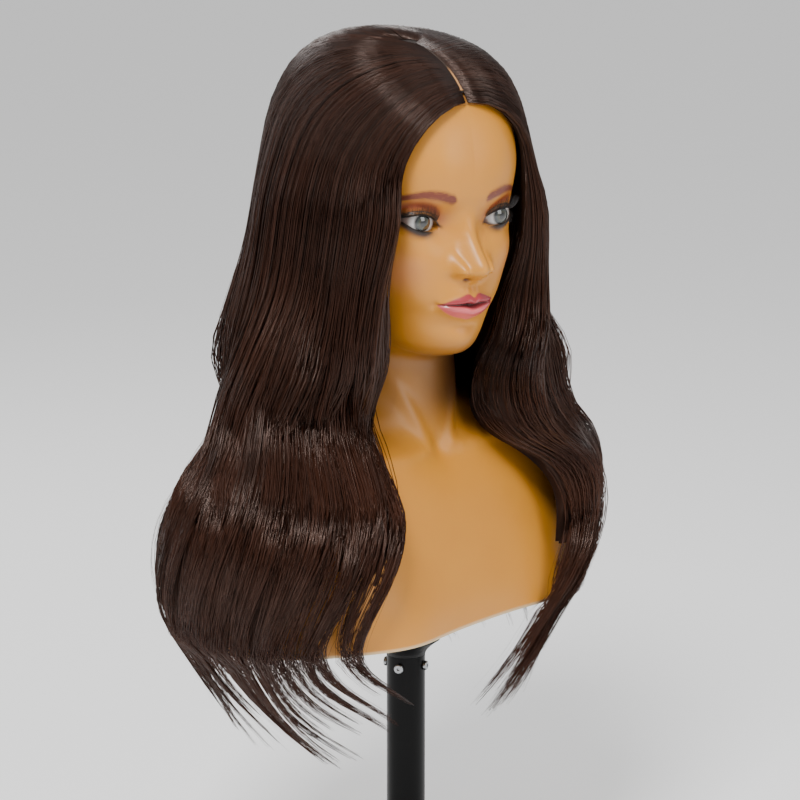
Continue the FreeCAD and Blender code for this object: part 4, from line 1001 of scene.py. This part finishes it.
# %% [markdown]
# ## Path of one strand
# Each strand starts beside the centre part, crosses the crown close to the cap, leaves the head
# above the ear and hangs. The path is worked out for a table of guides: q goes from the face's
# edge to the middle of the back, and the layer from the cap to the outside. A strand reads the
# table between the guides, so thousands of strands cost no more code than one.

# %% Guides
CROWN_CENTRE = (0.0, -4.0, CHIN_ABOVE_EDGE + 125.0)     # side, forward, height in the head's frame
GUIDE_COUNT, GUIDE_STEPS = 49, 96
FRONT_ANGLE = {1: 40.0, -1: 34.5}   # front edge at the temple, degrees from the face's front
HAIRLINE_POLAR = 53.0           # front hairline, degrees from the crown
CROWN_POLAR = 86.0              # where the hair leaves the head

# height and azimuth of the hair's front edges, and azimuth and height of the tips
RIGHT_EDGE = np.array([
    (150, -60), (245, -60), (277, -57.6), (315, -56.7), (351, -57), (374, -59.5), (409, -57.5),
    (439, -58), (471, -64), (503, -59), (534, -54.5), (566, -51), (597, -50), (660, -50),
])
LEFT_EDGE = np.array([
    (150, 34), (200, 30), (259, 25), (293, 33), (317, 44), (340, 45), (361, 48),
    (388, 22), (421, 12), (445, 16), (480, 35), (540, 26), (600, 24), (660, 24),
])
TIP_HEIGHT = np.array([
    (30, 158), (45, 160), (60, 195), (80, 200), (130, 172), (180, 165), (230, 168),
    (250, 160), (262, 172), (275, 135), (285, 165), (300, 188), (310, 200),
])
# the tips sweep towards the face: by how many degrees, and over what height above the tip
TIP_SWEEP, TIP_SWEEP_ABOVE, TIP_SWEEP_OVER = 20.0, 80.0, 90.0
OUTER_SLOPE, INNER_SLOPE = 0.5, 1.3     # how fast the hair may flare outwards on its way down
SMOOTHINGS = 10


def scalp_radius_table():
    """Distance of the bald head's skin from the crown centre, by azimuth and polar angle."""
    azimuths = np.arange(0, 181, 3.0)
    _, side, forward, height = skin_grid(azimuths, np.linspace(0.02, 16.0, 240), detail=False)
    s, f, h = side - CROWN_CENTRE[0], forward - CROWN_CENTRE[1], height - CROWN_CENTRE[2]
    radius = np.sqrt(s * s + f * f + h * h)
    polar = np.degrees(np.arccos(h / radius))
    place = np.degrees(np.arctan2(s, f))
    polars = np.arange(0, 111, 2.0)
    by_column = [(np.interp(polars, polar[:, k], place[:, k]),
                  np.interp(polars, polar[:, k], radius[:, k])) for k in range(len(azimuths))]
    places = np.array([c[0] for c in by_column])
    radii = np.array([c[1] for c in by_column])
    return np.array([np.interp(azimuths, places[:, k], radii[:, k]) for k in range(len(polars))]).T


SCALP = scalp_radius_table()


def scalp_radius(azimuth, polar):
    """The table read between its cells. The two halves of the head are alike."""
    a = np.clip(np.abs(azimuth) / 3.0, 0, SCALP.shape[0] - 1.001)
    p = np.clip(polar / 2.0, 0, SCALP.shape[1] - 1.001)
    i, j = a.astype(int), p.astype(int)
    s, r = a - i, p - j
    return ((SCALP[i, j] * (1 - r) + SCALP[i, j + 1] * r) * (1 - s)
            + (SCALP[i + 1, j] * (1 - r) + SCALP[i + 1, j + 1] * r) * s)


def crown_path(hand, q, outer_layer):
    """From the part sideways and down: azimuth turns first, the polar angle grows later."""
    w = np.linspace(0, 1, 40)[None, :]
    q = q[:, None]
    back = q ** 0.8
    root = HAIRLINE_POLAR * (1 - back)
    front = FRONT_ANGLE[hand]
    turned = step(q, 0.8, 1.0)
    azimuth = (front + (180 - front) * q) * (1 - (1 - turned) * (1 - w) ** (1.5 + 5 * back ** 3))
    polar = root + (CROWN_POLAR - root) * w ** (1.75 - 0.55 * back ** 2)
    radius = scalp_radius(azimuth, polar)
    a, p = np.radians(azimuth), np.radians(polar)
    away = radius * w * 1.35
    if outer_layer:
        fullness = 15.0 + 12.0 * step(q, 0.08, 0.5)
        lift = 2.7 + 7.1 * (1 - np.exp(-away / 11.0)) + (fullness - 9.8) * w ** 1.4
    else:
        lift = 3.0 + 0.6 * w
    r = radius + lift
    return posed(CROWN_CENTRE[0] + hand * r * np.sin(p) * np.sin(a) + hand * 1.3 * (1 - w) ** 3,
                 CROWN_CENTRE[1] + r * np.sin(p) * np.cos(a), CROWN_CENTRE[2] + r * np.cos(p), 1.0)


def hang_azimuth(hand, q, z):
    """Azimuth about the pole: the face's edge at q = 0 and the middle of the back at q = 1."""
    table = LEFT_EDGE if hand > 0 else RIGHT_EDGE
    edge = np.interp(z, table[:, 0], table[:, 1])
    back = 180 - HEAD_TURN * step(z, 430, 600)
    back = back if hand > 0 else back - 360
    return edge + (back - edge) * q


def even_steps(line, count):
    """A line of points read again at even steps of its length."""
    length = np.concatenate([[0.0], np.cumsum(np.linalg.norm(np.diff(line, axis=0), axis=-1))])
    places = np.linspace(0, length[-1], count)
    return np.stack([np.interp(places, length, line[:, d]) for d in range(3)], -1)


def guides(hand):
    """Guide points by q, layer and even steps of length, smoothed where crown and hang meet."""
    q = np.linspace(0, 1, GUIDE_COUNT)
    layers = []
    for outer_layer in (False, True):
        crown = crown_path(hand, q, outer_layer)
        top = crown[:, -1, 2] - 16.0
        foot = hang_azimuth(hand, q, np.full_like(q, 230.0)) % 360
        tip = np.interp(foot, TIP_HEIGHT[:, 0], TIP_HEIGHT[:, 1])
        z = top[:, None] + (tip - top)[:, None] * np.linspace(0, 1, 120)[None, :]
        azimuth = hang_azimuth(hand, q[:, None], z)
        near_tip = step(tip[:, None] + TIP_SWEEP_ABOVE - z, 0, TIP_SWEEP_OVER) ** 1.5
        azimuth = azimuth - hand * TIP_SWEEP * near_tip * (1 - q[:, None]) ** 0.7
        radius = hair_room(azimuth, z)[1 if outer_layer else 0]
        slope = OUTER_SLOPE if outer_layer else INNER_SLOPE
        radius = np.maximum.accumulate((radius + slope * z)[:, ::-1], axis=1)[:, ::-1] - slope * z
        a = np.radians(azimuth)
        hang = np.stack([radius * np.sin(a), -radius * np.cos(a), z], -1)
        whole = np.concatenate([crown, hang], axis=1)
        even = np.stack([even_steps(line, GUIDE_STEPS) for line in whole])
        for _ in range(SMOOTHINGS):
            even[:, 1:-1] += 0.5 * ((even[:, :-2] + even[:, 2:]) / 2 - even[:, 1:-1])
        layers.append(even)
    return np.stack(layers)


GUIDES = {1: guides(1), -1: guides(-1)}
print("guide lengths, mm:", np.linalg.norm(np.diff(GUIDES[1][1], axis=1), axis=-1).sum(1)[::12].round())


def read_guides(hand, q, layer, s):
    """A point of the strand surface at any q, layer (0 to 1) and share of the length."""
    table = GUIDES[hand]
    a = np.clip(q, 0, 1) * (GUIDE_COUNT - 1.001)
    b = np.clip(s, 0, 1) * (GUIDE_STEPS - 1.001)
    i, j = a.astype(int), b.astype(int)
    u, v = (a - i)[..., None], (b - j)[..., None]
    depth = np.asarray(layer)[..., None]

    def of(k):
        return ((table[k][i, j] * (1 - u) + table[k][i + 1, j] * u) * (1 - v)
                + (table[k][i, j + 1] * (1 - u) + table[k][i + 1, j + 1] * u) * v)

    return of(0) * (1 - depth) + of(1) * depth


# %% [markdown]
# ## Waves and locks
# Heat-set waves run across the whole wig at the same heights, so the wave's phase depends on the
# height. Strands gather into locks: each strand slides in the guide table towards its lock's
# middle as it nears the tip. Locks differ a little in phase, depth and length.

# %% Strands
# heights where the wave turns, counted in half waves
WAVE_HEIGHTS = np.array([
    (150, 4.0), (243, 3.0), (350, 2.0), (421, 1.0), (490, 0.0), (570, -1.0), (670, -2.0),
])
WAVE_SIDEWAYS, WAVE_OUTWARDS = 12.5, 7.0
WAVE_TOP, WAVE_GROWTH = 540.0, 130.0    # where the waves begin, and how far down they are full
SEAM_ANGLE = 45.0                       # the sideways wave dies out this near the back's middle
LOCKS_PER_SIDE = 92
STRANDS_PER_SIDE = 3900
STRAND_STEPS = 32
STRAND_RADIUS = 0.36
STRAY_SHARE = 0.06              # how many strands leave their lock


def waved(points, hand, phase, size):
    """Adds the waves: sideways as the cosine and outwards a tenth of a turn behind. Both are
    fullest on the shoulder. At the back's middle the two sides stay together."""
    x, y, z = np.moveaxis(points, -1, 0)
    azimuth = np.arctan2(x, -y)
    sideways = np.stack([np.cos(azimuth), np.sin(azimuth), np.zeros_like(x)], -1)
    outwards = np.stack([np.sin(azimuth), -np.cos(azimuth), np.zeros_like(x)], -1)
    turn = math.pi * np.interp(z, WAVE_HEIGHTS[:, 0], WAVE_HEIGHTS[:, 1]) + phase
    fullest = (1 + 0.25 * hill(z, 385, 60)) * (1 - 0.35 * step(300 - z, 0, 80))
    strength = step(WAVE_TOP - z, 0, WAVE_GROWTH) * fullest * size
    from_back = np.abs(np.degrees(azimuth) % 360 - 180)
    side_strength = strength * (0.12 + 0.88 * step(from_back, 0, SEAM_ANGLE))
    return (points - sideways * (hand * WAVE_SIDEWAYS * side_strength * np.cos(turn))[..., None]
            + outwards * (WAVE_OUTWARDS * strength * np.cos(turn - 0.2 * math.pi))[..., None])


def kept_outside(points, gap):
    """Pushes points that are within the skin's reach outwards, above the bust's lower edge."""
    x, y, z = np.moveaxis(points, -1, 0)
    radius = np.hypot(x, y)
    least = shadow(np.degrees(np.arctan2(x, -y)), z, REACH) + gap
    hanging = step(590 - z, 0, 30) * (z > BUST_BOTTOM)
    grow = np.where(hanging > 0, np.maximum(least / np.maximum(radius, 1.0), 1.0), 1.0)
    grow = 1 + (grow - 1) * hanging
    return np.stack([x * grow, y * grow, z], -1)


def strand_lines(hand):
    """Centre lines, radii and tints of one side's strands, with the share of the length at each
    step and how far back on the head each strand starts."""
    lock_q = np.arange(LOCKS_PER_SIDE) + random.uniform(-0.4, 0.4, LOCKS_PER_SIDE)
    lock_q = np.clip(lock_q / (LOCKS_PER_SIDE - 1), 0.0, 1.0)
    lock_layer = np.clip(random.beta(2.2, 1.2, LOCKS_PER_SIDE), 0.12, 0.97)
    lock_phase = random.normal(0, 0.3, LOCKS_PER_SIDE)
    lock_size = random.uniform(0.75, 1.3, LOCKS_PER_SIDE)
    lock_cut = random.uniform(0.9, 1.0, LOCKS_PER_SIDE)
    lock_drift = random.normal(0, 1, (LOCKS_PER_SIDE, 2))
    lock_tint = random.uniform(0, 1, LOCKS_PER_SIDE)
    lock = random.integers(0, LOCKS_PER_SIDE, STRANDS_PER_SIDE)
    q = np.clip(lock_q[lock] + random.normal(0, 0.018, STRANDS_PER_SIDE), 0, 1)
    q = np.where(q <= 0, random.uniform(0, 0.02, STRANDS_PER_SIDE), q)
    layer = np.clip(1 - np.abs(random.normal(0, 0.36, STRANDS_PER_SIDE)), 0.08, 1.0)
    layer = np.where(q < 0.07, random.uniform(0.05, 1.0, STRANDS_PER_SIDE), layer)
    start = np.clip(0.62 - layer, 0, 1) * 0.45
    stray = random.uniform(0, 1, STRANDS_PER_SIDE) < STRAY_SHARE
    end = lock_cut[lock] * random.uniform(0.82, 1.0, STRANDS_PER_SIDE) ** 0.6
    s = start[:, None] + (end - start)[:, None] * np.linspace(0, 1, STRAND_STEPS)[None, :]
    gather = 0.92 * step(s, 0.3, 1.02) * np.where(stray, 0.3, 1.0)[:, None]
    qs = q[:, None] + (lock_q[lock] - q)[:, None] * gather
    layers = layer[:, None] + (lock_layer[lock] - layer)[:, None] * gather * 0.85
    points = read_guides(hand, qs, layers, s)
    points = waved(points, hand, lock_phase[lock][:, None], lock_size[lock][:, None])
    x, y = points[..., 0], points[..., 1]
    azimuth = np.arctan2(x, -y)
    away = np.stack([np.sin(azimuth), -np.cos(azimuth), np.zeros_like(x)], -1)
    aside = np.stack([np.cos(azimuth), np.sin(azimuth), np.zeros_like(x)], -1)
    free = step(s, 0.3, 1.0)
    wander = np.where(stray, 7.0, 1.1)[:, None] * free
    beat = random.uniform(5, 13, (STRANDS_PER_SIDE, 1))
    turn = random.uniform(0, 6.28, (STRANDS_PER_SIDE, 2))
    points += aside * (wander * np.sin(beat * s + turn[:, :1])
                       + 5.0 * lock_drift[lock][:, :1] * free ** 2)[..., None]
    points += away * (0.6 * wander * np.sin(0.8 * beat * s + turn[:, 1:])
                      + 2.4 * np.abs(lock_drift[lock][:, 1:]) * free ** 2)[..., None]
    crown = step(0.3 - s, 0.0, 0.2) * np.sin(14 * s + turn[:, :1]) * 0.5
    points += aside * crown[..., None]
    points = kept_outside(points, 3.0 + 6.0 * random.uniform(0, 1, (STRANDS_PER_SIDE, 1)))
    along = np.linspace(0, 1, STRAND_STEPS)
    taper = (0.85 + 0.35 * along) * (1 - 0.8 * along ** 4)
    radii = STRAND_RADIUS * taper * np.where(stray, 0.45, 1.0)[:, None]
    radii = radii * random.uniform(0.75, 1.15, (STRANDS_PER_SIDE, 1))
    tint = np.clip(0.55 * lock_tint[lock] + 0.45 * random.uniform(0, 1, STRANDS_PER_SIDE), 0, 1)
    return points, radii, tint, s, q


# the bundle of wefts that a strand is sewn to, by how far back on the head it starts
HAIR_GROUPS = (("hair_{}_front", "a", 0.0, 0.12), ("hair_{}_front", "b", 0.12, 0.26),
               ("hair_{}_side", "a", 0.26, 0.42), ("hair_{}_side", "b", 0.42, 0.58),
               ("hair_back_{}", "a", 0.58, 0.79), ("hair_back_{}", "b", 0.79, 1.01))


def hair_finish(name, dark, warm, roughness, gloss):
    """Dark brown fibre, warmer from strand to strand and towards the tips."""
    hair = Finish(name, dark, roughness, IOR=1.5, Specular_IOR_Level=gloss,
                  Specular_Tint=rgb(226, 200, 188))
    color = hair.paint(dark, warm, hair.attribute("strand_tint"))
    tipped = hair.between(hair.attribute("strand_along"), 0.0, 0.35)
    color = hair.paint(color, rgb(84, 47, 31), tipped)
    hair.link(color, "Base Color")
    return hair


hair_fibre = hair_finish("hair_fibre", rgb(8, 5, 4), rgb(50, 27, 18), 0.27, 0.62)
for hand, side_name in ((1, "left"), (-1, "right")):
    points, radii, tint, s, q = strand_lines(hand)
    for pattern, letter, low, high in HAIR_GROUPS:
        label = pattern.format(side_name)
        chosen = (q >= low) & (q < high)
        attributes = {"strand_tint": np.broadcast_to(tint[chosen][:, None], s[chosen].shape),
                      "strand_along": s[chosen]}
        piece = tubes(label + "_strands_" + letter, points[chosen] * MM, radii[chosen] * MM, attributes)
        dress(piece, hair_fibre)
        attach(piece, "bust")
        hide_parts(label)
        print(piece.name, int(chosen.sum()), "strands", len(piece.data.polygons), "faces")

# %% [markdown]
# ## Under-hair
# Real hair is far denser than any bundle of drawn strands, so nothing shows between them. A dark
# closed sheet below the outer strands gives that density, and its colour, darker and duller than the
# strands, is painted shade for the hair's shaded inside. It follows the same guides, carries fine
# grooves along the strands, and stops well above the tips.

# %% Under-hair sheets
CORE_COLUMNS, CORE_ROWS = 160, 110


def hair_core(hand, name):
    """A closed sheet at mid layer, from the part to about the bust's lower edge, and shorter
    beside the face."""
    q = np.linspace(0.012, 1.0, CORE_COLUMNS)[:, None]
    ragged = 0.84 + 0.03 * np.sin(q * 47) + 0.03 * np.sin(q * 331 + 1) - 0.16 * hill(q, 0, 0.22)
    s = 0.012 + (ragged - 0.012) * np.linspace(0, 1, CORE_ROWS)[None, :]
    q, s = np.broadcast_arrays(q, s)
    ripple = 0.045 * np.sin(q * 260 + 3 * np.sin(s * 9)) * step(s, 0.02, 0.2)
    outer = waved(read_guides(hand, q, 0.5 - 0.2 * step(s, 0.45, 0.6) + ripple, s), hand, 0.0, 1.0)
    inner = waved(read_guides(hand, q, 0.08, s), hand, 0.0, 1.0)
    outer, inner = kept_outside(outer, 2.4), kept_outside(inner, 1.2)
    tint = np.broadcast_to(0.18 + 0.2 * np.sin(q * 410) ** 2, s.shape)
    return closed_sheet(name, outer * MM, inner * MM, {"strand_tint": tint, "strand_along": s * 0.5})


# painted shade: the sheet's colour is darker and duller than the strands, for the shaded inside of the hair
painted_shade_under_hair = hair_finish("painted_shade_under_hair", rgb(6, 4, 3), rgb(20, 11, 8), 0.6, 0.3)
for hand, name in ((1, "left"), (-1, "right")):
    core = dress(hair_core(hand, "hair_crown_" + name + "_under"), painted_shade_under_hair)
    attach(core, "bust")
    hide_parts("hair_crown_" + name)

# %% [markdown]
# ## Hardware and wig net
# The stand and the wig's net keep the CAD pieces' own shapes, so only their finishes are made
# here. The spigot and the combs carry fine brushing along one way, lacquer a faint orange peel,
# plywood its plies and grain, and the cloth parts threads that cross. Each finish is one call of a
# helper, and a table says which pieces wear it.

# %% Hardware and wig net finishes
def build_weave_group():
    """Threads that cross at right angles, as a bump and as a mask that is 1 on the threads."""
    tree, enter, leave = new_group(
        "weave", [("Scale", "NodeSocketFloat", 900.0), ("Depth", "NodeSocketFloat", 0.3)],
        [("Normal", "NodeSocketVector"), ("Mask", "NodeSocketFloat")])
    place = tree.nodes.new("ShaderNodeTexCoord")
    threads = []
    for direction in ("DIAGONAL", "Z"):
        wave = tree.nodes.new("ShaderNodeTexWave")
        wave.bands_direction = direction
        wave.inputs["Distortion"].default_value = 0.7
        wave.inputs["Detail"].default_value = 1.0
        tree.links.new(place.outputs["Object"], wave.inputs["Vector"])
        tree.links.new(enter.outputs["Scale"], wave.inputs["Scale"])
        threads.append(wave.outputs["Fac"])
    over = tree.nodes.new("ShaderNodeMath")
    over.operation = "MAXIMUM"
    bump = tree.nodes.new("ShaderNodeBump")
    bump.inputs["Distance"].default_value = 0.0004
    tree.links.new(threads[0], over.inputs[0])
    tree.links.new(threads[1], over.inputs[1])
    tree.links.new(over.outputs[0], bump.inputs["Height"])
    tree.links.new(enter.outputs["Depth"], bump.inputs["Strength"])
    tree.links.new(bump.outputs["Normal"], leave.inputs["Normal"])
    tree.links.new(over.outputs[0], leave.inputs["Mask"])
    return tree


weave_group = build_weave_group()


def solid(name, color_a, color_b, roughness, grain, mottle=30.0, metallic=0.0, **sockets):
    """A hard finish: two shades mixed softly, a grain of (scale, depth, stretch), uneven gloss."""
    finish = Finish(name, color_a, roughness, metallic, **sockets)
    finish.mottle(color_a, color_b, mottle, 0.8)
    mask = finish.grain(*grain)
    finish.between(mask, roughness * 0.8, roughness * 1.2, "Roughness")
    return finish


def woven(name, thread, between, scale, depth, roughness=0.85, sheer=None):
    """A cloth finish: threads over a darker ground, and see-through between them where sheer."""
    finish = Finish(name, thread, roughness)
    node = finish.group(weave_group, Scale=scale, Depth=depth)
    finish.link(node.outputs["Normal"], "Normal")
    finish.link(finish.paint(between, thread, node.outputs["Mask"]), "Base Color")
    if sheer:
        finish.between(node.outputs["Mask"], *sheer, "Alpha")
    return finish


def plywood():
    """Plies by height, each a little darker or lighter, with grain stretched along the board."""
    wood = Finish("board_plywood", rgb(206, 170, 120), 0.62)
    color = wood.mottle(rgb(208, 172, 122), rgb(176, 134, 86), 60.0, 0.9)
    place = wood.tree.nodes.new("ShaderNodeTexCoord")
    plies = wood.tree.nodes.new("ShaderNodeTexWave")
    plies.bands_direction = "Z"
    plies.inputs["Scale"].default_value = 130.0
    plies.inputs["Distortion"].default_value = 1.2
    plies.inputs["Detail"].default_value = 2.0
    wood.tree.links.new(place.outputs["Object"], plies.inputs["Vector"])
    dark_plies = wood.between(plies.outputs["Fac"], 0.0, 0.55)
    wood.link(wood.paint(color, rgb(134, 92, 52), dark_plies), "Base Color")
    wood.grain(160.0, 0.5, (1.0, 14.0, 3.0))
    return wood


def part_silk():
    """Skin-tone silk at the forehead that turns as dark as the roots towards the crown."""
    silk = woven("part_silk", rgb(190, 140, 88), rgb(120, 78, 48), 1500.0, 0.3)
    place = silk.tree.nodes.new("ShaderNodeTexCoord")
    split = silk.tree.nodes.new("ShaderNodeSeparateXYZ")
    silk.tree.links.new(place.outputs["Object"], split.inputs["Vector"])
    back = silk.between(split.outputs["Y"], 0.0, 0.96)
    low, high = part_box("part_strip")
    back.node.inputs["From Min"].default_value = low.y + 0.012
    back.node.inputs["From Max"].default_value = low.y + 0.42 * (high.y - low.y)
    color = silk.shader.inputs["Base Color"].links[0].from_socket
    silk.link(silk.paint(color, rgb(22, 12, 8), back), "Base Color")
    return silk


BRUSHED = (700.0, 0.25, (1.0, 1.0, 0.05))       # a grain's scale, depth and stretch
wear = [
    (solid("pad_rubber", rgb(24, 24, 24), rgb(44, 43, 42), 0.85, (1300.0, 0.5), 40.0),
     ["rubber_pad"]),
    (solid("base_powder", rgb(20, 20, 21), rgb(30, 30, 31), 0.46, (1700.0, 0.35), 12.0),
     ["base_plate", "foot_flange"]),
    (solid("screw_zinc", rgb(176, 178, 180), rgb(138, 140, 143), 0.3, (1500.0, 0.2), 90.0, 1.0),
     ["foot_flange_screws", "foot_grub_screw", "lock_screws", "hub_screws", "board_screws"]),
    (solid("pole_lacquer", rgb(3, 3, 3), rgb(6, 6, 7), 0.3, (420.0, 0.05), 16.0,
           Specular_IOR_Level=0.12), ["pole_tube"]),
    (solid("spigot_brushed", rgb(190, 192, 194), rgb(150, 152, 155), 0.28, BRUSHED, 25.0, 1.0),
     ["spigot_tube"]),
    (solid("hub_satin", rgb(9, 9, 10), rgb(18, 18, 19), 0.5, (1100.0, 0.3), 20.0,
           Specular_IOR_Level=0.3), ["hub_flange"]),
    (plywood(), ["base_board", "board_cleats"]),
    (woven("cap_net", rgb(40, 27, 20), rgb(12, 8, 6), 620.0, 0.8), ["wig_cap"]),
    (woven("lace_mesh", rgb(190, 138, 84), rgb(160, 108, 62), 1900.0, 0.2, 0.6, (0.0, 0.3)),
     ["lace_front"]),
    (part_silk(), ["part_strip"]),
    (solid("comb_coated", rgb(30, 26, 23), rgb(46, 41, 37), 0.4, BRUSHED, 50.0, 0.8),
     ["comb_left", "comb_right", "comb_nape", "band_hooks"]),
    (woven("weft_tape", rgb(44, 28, 21), rgb(10, 6, 5), 800.0, 0.9), ["weft_tracks"]),
    (woven("band_elastic", rgb(32, 30, 29), rgb(8, 8, 8), 560.0, 1.0), ["nape_band"]),
]
print("finishes on CAD pieces:", sum(len(names) for _, names in wear))
for finish, names in wear:
    for name in names:
        dress(nodes[name], finish)
